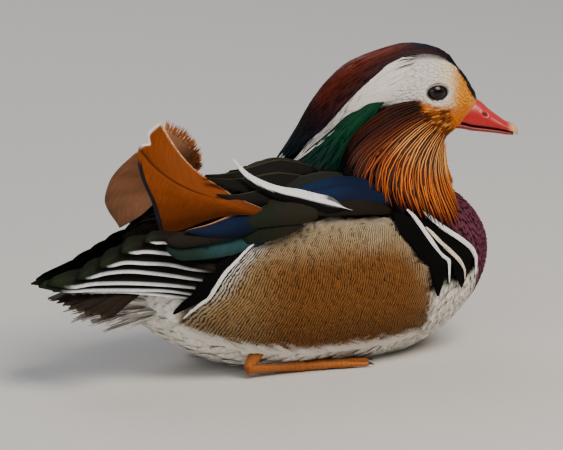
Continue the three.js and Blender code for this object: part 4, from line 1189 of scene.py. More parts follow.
def crown_colour(t, share):
    """Colour down the crest: navy at the brow, chestnut at the back, teal at the end, dark at its sides."""
    share = np.abs(share)
    top = smooth(0.75, 0.3, share)
    return paint(
        CROWN_WINE,
        (CROWN_NAVY, smooth(0.3, 0.16, t) * top),
        (CROWN_NAVY, smooth(0.09, 0.04, t)),
        (CROWN_TEAL, hump(0.1, 0.24, t, 0.06) * smooth(0.4, 0.1, share) * 0.6),
        (CROWN_CHESTNUT, hump(0.34, 0.62, t, 0.14) * mix(0.35, 1.0, top)),
        (CROWN_DUSK, smooth(0.66, 0.84, t) * 0.9 + 0.0 * share),
        (CREST_TEAL, smooth(0.8, 0.95, t)),
        (CROWN_DUSK, smooth(0.7, 1.0, share) * 0.6),
    )


firsts = [0.0, 0.03, 0.07, 0.12, 0.17, 0.22, 0.28, 0.34, 0.4, 0.46, 0.52, 0.58, 0.64]
per_row = [12, 20, 34, 48, 58, 66, 76, 88, 100, 108, 108, 100, 90]
t0 = np.repeat(firsts, per_row)
share = staggered(per_row) * 2 - 1
t0 = np.maximum(t0 + dice.normal(0, 0.012, len(t0)), 0.0)
share = share + dice.normal(0, 0.01, len(t0))
reach = 0.34 + 0.1 * dice.random(len(t0))
t1 = np.minimum(t0 + reach, 0.995 - 0.1 * np.abs(share) ** 1.5 - 0.06 * dice.random(len(t0)))
wide = mix(1.2, 1.9, smooth(0, 0.3, t0))
rise = 0.8 + 0.3 * dice.random(len(t0))
crown, place = strands(t0, t1, share, lambda t: 0.0 * t, CROWN_EDGE, wide, rise)
tint = strand_tint(crown, crown_colour(crown["t_crest"], share[:, None])[:, :, None])
feathers("crest_strands", crown, tint, place, SILK_FEATHER, ("crest",))

# %% White streaks


def side_rows(firsts, per_row, low=0.0, high=1.0):
    """Strands on both sides of the crest, between two shares of the way across."""
    t0 = np.repeat(firsts, per_row)
    share = mix(low, high, staggered(per_row))
    t0 = t0 + dice.normal(0, 0.012, len(t0))
    return np.concatenate([t0, t0]), np.concatenate([share, -share])


firsts = [0.23, 0.27, 0.31, 0.34, 0.38, 0.42, 0.46, 0.5, 0.54, 0.58, 0.62, 0.68, 0.74]
per_row = [16, 16, 18, 18, 20, 18, 16, 14, 10, 8, 6, 4, 4]
t0, share = side_rows(firsts, per_row, 0.02, 0.98)
t0 = np.concatenate([t0, [0.64, 0.66, 0.68] * 2])
share = np.concatenate([share, [1.5, 1.7, 1.9, -1.5, -1.7, -1.9]])
t1 = np.minimum(t0 + 0.22 + 0.1 * dice.random(len(t0)), 0.99 - 0.04 * dice.random(len(t0)))
wide = mix(1.4, 1.0, smooth(0.5, 0.7, t0))
rise = mix(0.2, 0.9, smooth(0.25, 0.4, t0)) + mix(0.15, 0.5, smooth(0.25, 0.4, t0)) * dice.random(len(t0))
sink = 3.0 * smooth(0.36, 0.27, t0)
white, place = strands(t0, t1, share, CROWN_EDGE, WHITE_EDGE, wide, rise, wander=0.8, sink=sink)
tint = strand_tint(white, FACE_WHITE, 0.05, 1.06, 0.92, 0.9)
feathers("white_streak", white, tint, place, PLUSH)

# %% Green nape
firsts = [0.4, 0.44, 0.48, 0.52, 0.56, 0.6, 0.64, 0.68, 0.72, 0.76, 0.8]
per_row = [10, 16, 20, 24, 26, 28, 30, 30, 28, 26, 24]
t0, share = side_rows(firsts, per_row, 0.02, 1.0)
t1 = np.minimum(t0 + 0.28 + 0.1 * dice.random(len(t0)), 1.0 - 0.06 * dice.random(len(t0)))
under_edge = track([0, 0.4, 0.56, 0.75, 0.85, 1], [100, 103, 112, 126, 150, 170])
wide = np.full(len(t0), 1.9)
rise = 0.5 + 0.4 * dice.random(len(t0))
green, place = strands(t0, t1, share, WHITE_EDGE, under_edge, wide, rise)
tone = paint("#053a23", (CREST_TEAL, smooth(0.7, 0.95, green["t_crest"][:, :, None])))
tint = strand_tint(green, tone, 0.2, 1.4, 0.6)
feathers("nape_strands", green, tint, place, SILK_FEATHER)

# %% [markdown]
# ## Hackles
# The ruff is made of narrow pointed hackles that start under the eye and fan over the neck and the
# shoulders. Each has a bright ridge and dark edges, which is what draws the fine stripes; the dark edges,
# the undersides and the lower layers are painted shade. Three curves steer them: where they start,
# where they bend over the shoulder, and where they end.

# %% Run of the hackles
hackle_root = line([
    [9, 17.6, 137.5], [12, 18.2, 131], [17, 18, 125], [21, 16, 120.5], [23, 12, 116], [23.5, 5, 111],
])
hackle_bend = line([
    [-17.5, 21.5, 128], [-15, 28, 114], [-4, 31.5, 103], [7, 31.5, 96], [16.5, 25, 93], [23.5, 12, 93],
])
hackle_end = line([
    [-33, 15.5, 103], [-35, 37, 98], [-27, 46, 86], [-12, 45.5, 78], [3, 44.5, 68.5], [17, 38, 67],
    [29.5, 20, 75],
])
HACKLE_OVER = 0.9
HACKLE_COLUMNS = [-1, -0.4, 0.4, 1]
HACKLE_RUST = linear("#7c2f0e")
HACKLE_ORANGE = linear("#b44a06")
HACKLE_BRIGHT = linear("#f07e0e")
HACKLE_CREAM = linear("#ffc878")
# Painted shade: the dark that the edges, undersides and lower layers of the hackles fall to.
HACKLE_GAP_SHADE = linear("#180602")


def hackle_place(u, s):
    """A place on the ruff in head coordinates: u from the nape to the throat, s from root to tip."""
    root, bend, end = hackle_root(u), hackle_bend(u), hackle_end(u)
    reach = 2 * bend - (root + end) / 2
    s = np.asarray(s)[..., None]
    place = (1 - s) ** 2 * root + 2 * s * (1 - s) * reach + s**2 * end
    z = place[..., 2]
    length = np.where(place[..., 0] > 0, head_front(z), head_back(z)) + HACKLE_OVER
    side = head_half(z) + HACKLE_OVER
    least = side * np.sqrt(np.clip(1 - (place[..., 0] / length) ** 2, 0, 1))
    place[..., 1] = np.where(z > 100, np.maximum(place[..., 1], least), place[..., 1])
    return place


def hackles(u, s0, s1, width, height, side, rows=9):
    s = np.linspace(0, 1, rows)
    along_s = s0[:, None] + (s1 - s0)[:, None] * s
    along_u = u[:, None] + dice.normal(0, 0.003, (len(u), 1)) + dice.normal(0, 0.006, (len(u), 1)) * s
    along_u = along_u + 0.004 * np.sin(s * 12 + dice.random((len(u), 1)) * 6)
    along_u = np.clip(along_u, 0, 1)
    centre = hackle_place(along_u, along_s)
    ahead, behind = np.clip(along_u + 0.01, 0, 1), np.clip(along_u - 0.01, 0, 1)
    du = hackle_place(ahead, along_s) - hackle_place(behind, along_s)
    ds = hackle_place(along_u, along_s + 0.01) - hackle_place(along_u, along_s - 0.01)
    out = unit(np.cross(du, ds))
    axis = centre * [1, 1, 0] - [4, 0, 0]
    out = out * np.where((out * axis).sum(-1, keepdims=True) < 0, -1, 1)
    centre = centre + out * (mix(-0.5, 0.8, s)[None, :, None] + height[:, None, None])
    flip = np.array([1, side, 1])
    outward_line = unit(turned((centre + out) * flip) - turned(centre * flip))
    profile = strand(s) * mix(0.5, 1.0, s)
    made = vanes(turned(centre * flip), outward_line, width, profile, 0.8, 0.7, HACKLE_COLUMNS)
    made["u"], made["s"] = along_u, along_s
    return made


print("hackles end at", hackle_end(0.5).round(1), "halfway")

# %% Layers of hackles
# Each layer: start, end, count, offset round the ruff, height and brightness. The low brightness of the
# lower layers is painted shade under the top ones.
LAYERS = [
    (0.0, 0.5, 60, 0.0, -0.4, 0.1), (0.0, 0.75, 70, 0.5, -0.1, 0.1), (0.04, 0.95, 76, 0.0, 0.25, 0.12),
    (0.1, 0.98, 80, 0.5, 0.5, 0.18), (0.3, 1.0, 38, 0.75, 0.8, 1.0), (0.0, 1.0, 38, 0.25, 1.0, 1.0),
]
for side, label in SIDES:
    u = np.concatenate([(np.arange(row[2]) + row[3]) / row[2] for row in LAYERS])
    starts, ends, high, strength = [
        np.concatenate([np.full(row[2], row[column]) for row in LAYERS]) for column in (0, 1, 4, 5)
    ]
    starts = np.clip(starts + 0.08 * dice.random(len(u)), 0, 1)
    ends = np.clip(ends - 0.1 * dice.random(len(u)), 0.3, 1)
    ends = ends * mix(1.0, 0.62, smooth(0.7, 0.95, u))
    lit = strength > 0.5
    wide = mix(0.8, 1.9, ends) * np.where(lit, 0.62, 1.0) * (1 + dice.normal(0, 0.12, len(u)))
    made = hackles(u, starts, ends, wide, high + 0.5 * dice.random(len(u)), side)
    s = made["s"][:, :, None]
    around = made["u"][:, :, None]
    ridge = smooth(1.0, 0.4, np.abs(made["q"])) * made["top"]
    bright = paint(
        HACKLE_RUST,
        (HACKLE_ORANGE, smooth(0.04, 0.34, around)),
        (HACKLE_BRIGHT, smooth(0.15, 0.55, around) * hump(0.05, 0.7, s, 0.25) * 0.8),
        (HACKLE_CREAM, hump(0.35, 0.9, around, 0.15) * hump(0.1, 0.34, s, 0.16) * 0.45),
        # The lower layers turn rust as part of their painted shade.
        (HACKLE_RUST, 0.8 * ~lit[:, None, None]),
    )
    each = strength * mix(0.45, 1.4, dice.random(len(u))) * mix(0.3, 1.0, smooth(0.06, 0.4, u))
    # Edges and undersides fall towards the gap colour: painted shade.
    ridge = (0.1 + 0.9 * ridge)[None, None, :, None]
    tint = HACKLE_GAP_SHADE + (bright - HACKLE_GAP_SHADE) * ridge * each[:, None, None, None]
    place = join(0.02 + 0.46 * u, 0.1 + 0.8 * starts)
    tint = np.clip(tint, 0, 1)
    feathers(f"hackles_{label}", made, tint, place, HACKLE_FEATHER, (f"ruff_{label}",))

# %% [markdown]
# ## Bill
# A drake's bill is coral red horn over bone, smooth and a little waxy, with a pale hard nail at its tip.
# The upper half is a tube of rings, sharp at the edge that meets the lower half. The nostril is pressed
# into the rings and its rim raised, so the hole is real in the mesh.

# %% Bill curves and horn
FULL_TURN = 2 * math.pi
BILL_A = [29, 34, 38, 42.3, 48.8, 53.9, 57.8, 60.4, 62.6, 64]
bill_top = track(BILL_A, [134, 135.4, 135.2, 133.3, 127.7, 123.9, 121.2, 120.2, 118.6, 116])
bill_cut = track(BILL_A, [122, 121.2, 120, 119.3, 118.2, 117.2, 116.2, 115.6, 114.2, 113.6])
bill_half = track(BILL_A, [9.5, 9, 8.6, 8.1, 7.2, 6.5, 5.8, 4.9, 3.5, 1.4])
lower_depth = track([27, 34, 42, 50, 57, 60.6], [4.0, 3.6, 3.2, 2.8, 2.4, 1.8])
NOSTRIL = np.array([45.2, 6.0, 126.6])
NOSTRIL_SLOPE = math.radians(28)
PORE = 0.35
CORAL = linear("#b20b0d")
# Used for painted highlights on the bill.
CORAL_HIGHLIGHT = linear("#c8363a")
CORAL_DEEP = linear("#7c0d10")
NAIL = linear("#e0b489")
# The dark of the gape line, also used as painted shade in the nostril.
GAPE_AND_NOSTRIL_SHADE = linear("#1c0d0b")


def facing(local):
    """Turns head places by the whole turn of the head."""
    return head_turned(local) + [NECK_AXIS, 0, 0]


def unrolled(u, v):
    """A patch of OFBake for a tube, from the shares along it and round it."""
    return join(0.05 + 0.9 * u, 0.05 + 0.9 * v).reshape(-1, 2)


def horn_material(name, roughness):
    """Waxy horn skin: soft blotches of colour and fine pores."""
    material, tree = fresh(name)
    tint = node(tree, "Attribute", attribute_name="Tint")
    place = node(tree, "TexCoord").outputs["Object"]
    blotch = node(tree, "TexNoise", {"Vector": place, "Scale": 260.0, "Detail": 4.0, "Roughness": 0.6})
    pores = node(tree, "TexVoronoi", {"Vector": place, "Scale": 1 / (PORE * MM)})
    shade = node(tree, "Math", {0: blotch, 1: 0.45, 2: 0.78}, operation="MULTIPLY_ADD")
    colour = node(tree, "VectorMath", {0: tint, 1: shade}, operation="MULTIPLY")
    finish_material(
        tree, colour, pores, 0.25, 0.05, Roughness=roughness, IOR=1.55, Coat_Weight=0.15, Coat_Roughness=0.2,
        Specular_IOR_Level=0.5,
    )
    return material


HORN = horn_material("Waxy_Bill_Horn", 0.36)
print("bill from", BILL_A[0], "to", BILL_A[-1], "mm before the neck axis")

# %% Upper bill
stretches = [np.linspace(29, 41, 14), np.linspace(41.4, 49, 26), np.linspace(49.6, 63.9, 34)]
a = np.concatenate(stretches)[:, None]
turn = np.linspace(0, FULL_TURN, 97)[:-1]
c, s = np.cos(turn), np.sin(turn)
cut = bill_cut(a)
z = cut + 2 + np.where(c > 0, (bill_top(a) - cut - 2) * np.abs(c) ** 0.9, 1.8 * c)
b = bill_half(a) * np.sign(s) * np.abs(s) ** 0.92
along = (a - NOSTRIL[0]) * math.cos(NOSTRIL_SLOPE) - (z - NOSTRIL[2]) * math.sin(NOSTRIL_SLOPE)
across = (a - NOSTRIL[0]) * math.sin(NOSTRIL_SLOPE) + (z - NOSTRIL[2]) * math.cos(NOSTRIL_SLOPE)
hole = np.where(c > 0, np.sqrt((along / 1.7) ** 2 + (across / 0.95) ** 2), 9.0)
dent = -1.3 * smooth(1.0, 0.55, hole) + 0.28 * peak(hole - 1.45, 0.4)
nail = smooth(57.4, 58.6, a) * smooth(3.6, 3.0, np.abs(b)) * (c > 0)
edge = peak(z - cut - 1.2, 0.5) * 0.18
b = b + np.sign(s) * (dent + edge) * np.abs(s)
z = z + dent * np.maximum(c, 0) * 0.5 + nail * 0.35
tone = paint(
    CORAL,
    # Painted highlight along the top of the bill.
    (CORAL_HIGHLIGHT, smooth(0.55, 0.95, c) * 0.55 + 0 * a),
    (CORAL_DEEP, smooth(2.6, 1.4, z - cut) * 0.7),
    # Painted highlight on the nostril's raised rim.
    (CORAL_HIGHLIGHT, peak(hole - 1.5, 0.45) * 0.8),
    # The nostril's dent is painted dark: painted shade in the hole.
    (GAPE_AND_NOSTRIL_SHADE, smooth(0.95, 0.6, hole) * 0.9),
    (NAIL, smooth(57.0, 61.5, a) * 0.9),
    ("#d98a4a", smooth(61.5, 64, a) * 0.6),
    (GAPE_AND_NOSTRIL_SHADE, smooth(0.5, 0.1, z - cut)),
)
points, faces = closed_tube(facing(join(a, b, z)))
build(
    "bill_upper_horn", points, faces, HORN, ("bill_upper",), tone.reshape(-1, 3),
    unrolled((a - 29) / 35, turn / FULL_TURN),
)

# %% Lower bill
a = np.linspace(27, 61, 40)[:, None]
turn = np.linspace(0, FULL_TURN, 41)[:-1]
c, s = np.cos(turn), np.sin(turn)
deep = lower_depth(a) / 2
z = bill_cut(a) + 0.5 - deep + np.where(c > 0, deep * np.abs(c) ** 0.5, deep * c)
b = np.maximum(bill_half(a) - 0.5, 0.6) * np.sign(s) * np.abs(s) ** 0.8
tone = paint(
    CORAL_DEEP, (GAPE_AND_NOSTRIL_SHADE, smooth(0.5, 0.9, c) * 0.9 + 0 * a), (CORAL, smooth(0.1, -0.5, c) * 0.8 + 0 * a)
)
points, faces = closed_tube(facing(join(a, b, z)))
build(
    "bill_lower_horn", points, faces, HORN, ("bill_lower",), tone.reshape(-1, 3),
    unrolled((a - 27) / 34, turn / FULL_TURN),
)

# %% [markdown]
# ## Eyes and lids
# The eye is a glassy ball, nearly black, set so deep that only its front shows between the lids. The lids
# are a soft ring of bare skin. It lies on the ball at its inner edge and dips under the feathers at its
# outer one.

# %% Eye and lid materials
EYE_YAW = math.radians(15)
EYE_SIDE = 16.6
BALL = np.array([6.1, 5.2, 5.1])
BALL_SINK = 3.7


def bare_material(name, cells, detail, contrast, base, bump, reach, **sockets):
    """Wet or soft bare skin: the tint under a fine noise, which also gives the relief."""
    material, tree = fresh(name)
    tint = node(tree, "Attribute", attribute_name="Tint")
    place = node(tree, "TexCoord").outputs["Object"]
    noise = node(tree, "TexNoise", {"Vector": place, "Scale": cells, "Detail": detail})
    shade = node(tree, "Math", {0: noise, 1: contrast, 2: base}, operation="MULTIPLY_ADD")
    colour = node(tree, "VectorMath", {0: tint, 1: shade}, operation="MULTIPLY")
    finish_material(tree, colour, noise, bump, reach, **sockets)
    return material


# A clear cornea over a dark iris is wet, so it is very smooth and has the index of tear fluid.
WET_EYE = bare_material(
    "Wet_Dark_Eye", 2200.0, 2.0, 0.8, 0.6, 0.0, 0.1, Roughness=0.04, IOR=1.38, Specular_IOR_Level=0.3,
    Coat_Weight=0.25, Coat_Roughness=0.02,
)
LID_SKIN = bare_material("Bare_Lid_Skin", 1800.0, 3.0, 0.5, 0.75, 0.4, 0.08, Roughness=0.5, IOR=1.45)
print("eye materials:", WET_EYE.name, LID_SKIN.name)

# %% Eyeballs and lids
for side, label in SIDES:
    ahead = np.array([math.cos(EYE_YAW), -math.sin(EYE_YAW) * side, 0])
    outwards = np.array([math.sin(EYE_YAW), math.cos(EYE_YAW) * side, 0])
    above = np.array([0, 0, 1.0])
    ball_centre = np.array([EYE[0], EYE_SIDE * side, EYE[2]]) - outwards * BALL_SINK
    ring = np.linspace(0, FULL_TURN, 49)[:-1]
    polar = np.linspace(0.02, math.pi - 0.02, 40)[:, None]
    u, v, w = np.sin(polar) * np.cos(ring), np.sin(polar) * np.sin(ring), np.cos(polar) + 0 * ring
    ball = ball_centre + (u * BALL[0])[..., None] * ahead + (v * BALL[2])[..., None] * above
    ball = ball + (w * BALL[1])[..., None] * outwards
    away = np.hypot(u * BALL[0], v * BALL[2])
    tone = paint("#2c170c", ("#050405", smooth(2.9, 2.5, away)), ("#0a0706", smooth(3.6, 4.4, away)))
    points, faces = closed_tube(facing(ball))
    build(
        f"eye_ball_{label}", points, faces, WET_EYE, (f"eye_{label}",), tone.reshape(-1, 3),
        unrolled(ring / FULL_TURN, polar / math.pi),
    )
    around = np.linspace(0, FULL_TURN, 73)[:-1, None]
    section = np.linspace(0, FULL_TURN, 15)[:-1]
    inner_a = EYE_LENGTH / 2 * np.cos(around)
    inner_z = EYE_HEIGHT / 2 * np.sin(around) * np.where(np.sin(around) > 0, 1.0, 0.96)
    depth = BALL[1] * np.sqrt(np.clip(1 - (inner_a / BALL[0]) ** 2 - (inner_z / BALL[2]) ** 2, 0, 1)) + 0.25
    share = 0.5 - 0.5 * np.cos(section)
    grow = 1 + 0.3 * share
    outer_depth = BALL_SINK - 0.3 - 0.022 * (inner_a * 1.3) ** 2 - 0.006 * (inner_z * 1.3) ** 2
    level = mix(depth, outer_depth, share) + 0.38 * np.sin(section) + 0.35 * share * (1 - share)
    lid = ball_centre + (inner_a * grow)[..., None] * ahead + (inner_z * grow)[..., None] * above
    lid = lid + level[..., None] * outwards
    tone = paint("#15100e", ("#8f877c", smooth(0.25, 0.6, share) + 0 * inner_a))
    rows, corners, _ = lid.shape
    i, k = np.arange(rows)[:, None], np.arange(corners)
    here, after = i * corners, (i + 1) % rows * corners
    quads = join(here + k, here + (k + 1) % corners, after + (k + 1) % corners, after + k).reshape(-1, 4)
    build(
        f"eyelids_{label}", facing(lid).reshape(-1, 3), [quads], LID_SKIN, (), tone.reshape(-1, 3),
        unrolled(around / FULL_TURN, section / FULL_TURN),
    )

# %% [markdown]
# ## Back and wing coverts
# The mantle and the small wing feathers are dark olive and lie like roof tiles. Over the rump they stand
# higher, because the folded wing feathers below push them up. They are rounded feathers again, larger
# than on the breast, each with a slightly paler rim.

# %% Mantle
BROAD = (-1, -0.5, 0, 0.5, 1)
OLIVE_RIM = linear("#3a3423")


def rimmed(made, tone, rim_share=0.35):
    """Feather colours with a paler rim along the sides and the tip, and painted shade towards the root."""
    t = made["t"][..., None]
    edge = np.maximum(smooth(0.7, 1.0, np.abs(made["q"])[:, None]), smooth(0.86, 1.0, t)) * rim_share
    # Darker towards the root: painted shade under the row above.
    return varied(made, tone + (OLIVE_RIM - tone) * edge, mix(0.7, 1.0, smooth(0, 0.4, t)), 0.1, 0.4)


def back_height(x, angle):
    """How high the back feathers stand over the body, more over the rump and along the middle."""
    return 0.6 + 6.5 * hump(-48, -20, x, 34) * smooth(146, 172, np.abs(angle))


def back_surface(x, angle, height=0.0):
    return body(x, angle, height + back_height(x, angle))


x, angle = rows_of_roots(np.arange(-84, 30, 4.6), lambda x: 3.1 * (body_half(x) + 5), 5.2, 146, 214)
angle = wrapped(angle)
keep = outside_head(body(x, angle), -8)
x, angle = x[keep], angle[keep]
heading = join(-1.0, np.sign(angle) * 0.08, 0.0)
size = 1 + dice.normal(0, 0.1, len(x))
mantle, place = dress(
    back_surface, "body", x, angle, heading, 21 * size, 10 * size, 7, -1.2, 2.2, columns=BROAD
)
tint = rimmed(mantle, OLIVE_DARK)
feathers("mantle_coat", mantle, tint, place, SOFT_FEATHER, ("mantle",))

# %% Wing coverts


def covert_colour(x, angle):
    return paint(
        OLIVE,
        ("#1f170e", hump(-50, 20, x, 8) * hump(124, 140, angle, 5)),
        ("#1b1f14", smooth(-40, -52, x) * hump(118, 150, angle, 6)),
        (OLIVE_DARK, smooth(148, 158, angle)),
    )


for side, label in SIDES:
    x, angle = rows_of_roots(np.arange(-66, 34, 4.6), lambda x: 3.1 * (body_half(x) + 5), 5.0, 122, 152)
    keep = (angle > flank_edge(x) + 4) & (x > -64 + (angle - 119) * 0.1)
    keep = keep & outside_head(body(x, angle * side), 0)
    x, angle = x[keep], angle[keep]
    heading = np.array([-1.0, 0.0, 0.05])
    size = 1 + dice.normal(0, 0.1, len(x))
    wing, place = dress(
        body, "body", x, angle * side, heading, 18 * size, 9 * size, 7, -0.9, 1.8, columns=BROAD
    )
    tint = rimmed(wing, covert_colour(x, angle)[:, None, None], 0.3)
    feathers(f"wing_coverts_{label}", wing, tint, place, SOFT_FEATHER, (f"wing_{label}",))

# %% [markdown]
# ## Large feathers one by one
# Quills, scapulars and the sails are few and each has its own drawing, so each is laid along its own
# curve. They are given for the right side and mirrored for the left. A wide patch of "OFBake" keeps their
# drawing sharp.

# %% Single feathers
FINE = [-1, -0.88, -0.76, -0.6, -0.35, -0.1, 0, 0.1, 0.35, 0.6, 0.8, 1]


def quill(t):
    """Outline of a flight feather: even, with a rounded tip."""
    return np.clip(0.5 + 1.6 * t, 0, 1) * np.sqrt(np.clip((1 - t) / 0.14, 0.02, 1))


def lance(t):
    """Outline of a long feather that narrows to a point."""
    return np.clip(0.35 + 2.4 * t, 0, 1) * np.clip((1.01 - t) / 0.6, 0.03, 1) ** 0.75


def leaf(t):
    """Outline of a broad rounded feather."""
    return np.sqrt(np.clip(1 - ((t - 0.5) / 0.53) ** 2, 0.04, 1))


def single(path, out, width, outline, rows=26, cup=0.12, thick=0.4):
    t = np.linspace(0, 1, rows)
    facing_up = np.broadcast_to(out, (1, rows, 3))
    return vanes(line(path)(t)[None], facing_up, np.array([width]), outline(t), cup, thick, FINE)


def from_edge(edge, out, width, rows=26, cup=0.1, thick=0.4):
    """A quill whose lower edge follows a curve."""
    t = np.linspace(0, 1, rows)
    low = line(edge)(t)
    up = np.cross(unit(np.gradient(low, axis=0)), unit(np.array(out, float)))
    centre = low + up * (quill(t) * width / 2)[:, None]
    facing_up = np.broadcast_to(out, (1, rows, 3))
    return vanes(centre[None], facing_up, np.array([width]), quill(t), cup, thick, FINE)


print("a quill's edge near its tip:", quill(0.95).round(2))

# %% Many single feathers as one piece


def stack(name, items, material, replaced=(), side=-1):
    """Joins single feathers, each with its colours, into one piece on the right side or mirrored."""
    columns = math.ceil(math.sqrt(len(items)))
    cell = 1 / columns
    parts, tints, bakes, lies, rims = [], [], [], [], []
    for i, (made, tint) in enumerate(items):
        place = made["points"][0]
        q = np.broadcast_to(made["q"], place.shape[:2])
        t = np.broadcast_to(made["t"], place.shape[:2])
        parts.append((place.reshape(-1, 3), made["faces"]))
        rims.append(np.abs(q.ravel()) == 1)
        # Undersides are painted darker: painted shade.
        under = np.where(made["top"] > 0, 1.0, 0.6)[:, None]
        tints.append((np.broadcast_to(tint(q, t), place.shape) * under).reshape(-1, 3))
        u = (i % columns + 0.5 + q * 0.42) * cell
        v = (i // columns + 0.5 + (t - 0.5) * 0.84) * cell
        bakes.append(join(u, v).reshape(-1, 2))
        lies.append(join(q * made["half"][0][:, None], t * made["length"][0]).reshape(-1, 2))
    points, faces = together(parts)
    build(
        name, points * [1, -side, 1], faces, material, replaced, np.clip(np.concatenate(tints), 0, 1),
        np.concatenate(bakes), np.concatenate(lies), rim=np.concatenate(rims),
    )


print("corners across a quill:", len(FINE))

# %% [markdown]
# ## Flight feathers
# In the folded wing the primaries lie stacked, the inner ones on top. Each shows a strip of dark olive
# and, along its lower edge, a line of silver white. Their lower edges are measured, and the feathers are
# hung from them. Over them lie the secondaries with the blue and green wing mirror.

# %% Primaries
PRIMARY_EDGES = [
    [[-78, 77.5], [-96, 78.8], [-102, 79.5], [-107.4, 79.7], [-111, 80.4]],
    [[-78, 70], [-93.7, 72.2], [-101.6, 73.6], [-110.9, 74.7], [-119.3, 74.2], [-122.5, 75]],
    [
        [-76, 62.5], [-88.8, 64.6], [-98.6, 67.1], [-110.9, 68.3], [-121.3, 69], [-130.1, 67.1],
        [-133.5, 67.6],
    ],
    [[-74, 57], [-83.8, 58.5], [-106, 62.5], [-119.3, 64.1], [-130.2, 63.4], [-140.5, 61.1], [-144, 61.4]],
    [
        [-74, 52.5], [-82.4, 53.6], [-98.7, 55.8], [-125.8, 57.9], [-137.1, 57.8], [-146.4, 56.5],
        [-158.5, 58.8],
    ],
    [
        [-76, 48.6], [-83.9, 49.9], [-98.7, 52.6], [-112.5, 53.6], [-135.1, 54.5], [-150.8, 54.5],
        [-163, 57.4],
    ],
    [[-78, 46.5], [-84.9, 47.8], [-98.7, 49.9], [-121.9, 52.9], [-138.1, 53.5], [-156, 54.6]],
]
PRIMARY_WIDTHS = (7.5, 10.5, 10.5, 10.5, 10.5, 9.0, 9.0)
PRIMARY_SILVER = (0.96, 0.96, 0.96, 0.96, 0.9, 0.87, 0.8)
PRIMARY_OUT = [-0.3, -0.82, 0.5]
QUILL_OLIVE = linear("#130f08")
QUILL_GREEN = linear("#1d2a17")
SILVER = linear("#f2f0f0")


def wing_plane(x, z, depth):
    """A place on the folded wing, which slants in towards the tail. Depth is how far it lies below."""
    return np.array([x + 0.36 * depth, -43 - 0.385 * (x + 72) + 0.93 * depth, z - 1.6])


def primary_tint(reach, low_fade):
    def tint(q, t):
        band = smooth(-0.68, -0.8, q) * smooth(reach, reach - 0.07, t) * smooth(low_fade, low_fade + 0.35, t)
        return paint(
            QUILL_OLIVE,
            (QUILL_GREEN, smooth(0.72, 0.95, t) * 0.8),
            # Darker towards the upper edge, under the next quill: the dark inner web, deepened with painted
            # shadow of that quill.
            (BLACK, smooth(-0.1, 0.9, q) * 0.4),
            (SILVER, band),
            ("#2c2517", smooth(0.12, 0.05, np.abs(q)) * 0.5),
        )

    return tint


def tucked(path, side, amount=1.0):
    """The left wing is folded a little closer than the right one."""
    path = np.array(path, float)
    if side < 0:
        return path
    return path + amount * smooth(-70, -108, path[:, :1]) * np.array([15.0, 0.0, -9.0])


for side, label in SIDES:
    items = []
    for i, edge in enumerate(PRIMARY_EDGES):
        path = tucked([wing_plane(x, z, 0.75 * i) for x, z in edge], side, max(0, 1 - i / 4))
        made = from_edge(path, PRIMARY_OUT, PRIMARY_WIDTHS[i])
        items.append((made, primary_tint(PRIMARY_SILVER[i], 0.3 if i < 1 else 0.02)))
    stack(f"primary_quills_{label}", items, FLIGHT, (f"primaries_{label}",), side)

# %% Colours of the secondaries


def over_wing(x, z, lift=0.0):
    """A place over the folded wing near its front, where the secondaries lie."""
    near = float(smooth(-100, -62, x))
    return np.array([x + 3.4 * near, -45 - 0.25 * (x + 50) - lift + 5.9 * near, z - 1.5 * near])


SEC_OUT = [-0.2, -0.82, 0.5]
MIRROR_TEAL = linear("#244345")
MIRROR_GREEN = linear("#16261c")
MIRROR_BLUE = linear("#021430")
PALE_EDGE = linear("#c98a58")


def teal_tint(q, t):
    return paint(
        MIRROR_TEAL,
        (MIRROR_GREEN, smooth(0.45, 0.75, t) * 0.9),
        (MIRROR_GREEN, smooth(-0.5, -0.95, q) * 0.5),
        (QUILL_OLIVE, smooth(0.45, 0.85, q)),
        (BLACK, smooth(0.96, 1.0, t) * 0.6),
    )


def brown_tint(q, t):
    return paint("#1d170f", (BLACK, smooth(-0.6, -0.95, q) * 0.5))


def blue_tint(q, t):
    return paint(
        MIRROR_BLUE,
        ("#030c1c", smooth(-0.2, -0.9, q)),
        ("#131c17", smooth(0.3, 0.0, t)),
        (PALE_EDGE, smooth(0.8, 0.92, q)),
    )


def round_tint(spot):
    """A broad green-grey feather with a dark spot of the given strength."""

    def tint(q, t):
        near = np.hypot((q - 0.1) * 0.8, (t - 0.42) * 4.5)
        return paint("#211d12", ("#1a2013", smooth(0.3, 0.8, t)), (BLACK, smooth(0.32, 0.1, near) * spot))

    return tint


print("a secondary lies at", over_wing(-60, 80).round(1))

# %% Secondaries
SECONDARY_PARTS = [
    ([[-52, 79], [-69.7, 77], [-82.9, 76], [-93.4, 75.8], [-102.4, 76.5]], 3.0, 13.0, teal_tint, quill),
    ([[-50, 77.5], [-66, 75], [-80, 73], [-90, 73.6], [-97, 75.5]], 1.9, 9.0, teal_tint, quill),
    ([[-52, 86], [-70, 83.2], [-84, 81.4], [-94, 80.6], [-103, 80.4]], 3.3, 9.0, brown_tint, quill),
    ([[-48, 91], [-59, 88], [-68, 86], [-78, 84.4], [-92, 84.6]], 3.0, 12.5, blue_tint, lance),
    ([[-30, 87], [-38, 87.5], [-47, 86.2], [-56, 82.8], [-61.5, 78.6]], 3.6, 17.0, round_tint(0.9), leaf),
    ([[-22, 90], [-32, 91], [-42, 91.5], [-52, 90], [-60, 87]], 3.4, 13.0, round_tint(0.0), leaf),
]
for side, label in SIDES:
    items = []
    for path, lift, width, tint, outline in SECONDARY_PARTS:
        path = tucked([over_wing(x, z, lift) for x, z in path], side)
        items.append((single(path, SEC_OUT, width, outline, cup=0.16, thick=0.5), tint))
    stack(f"secondary_quills_{label}", items, FLIGHT, (f"secondaries_{label}",), side)

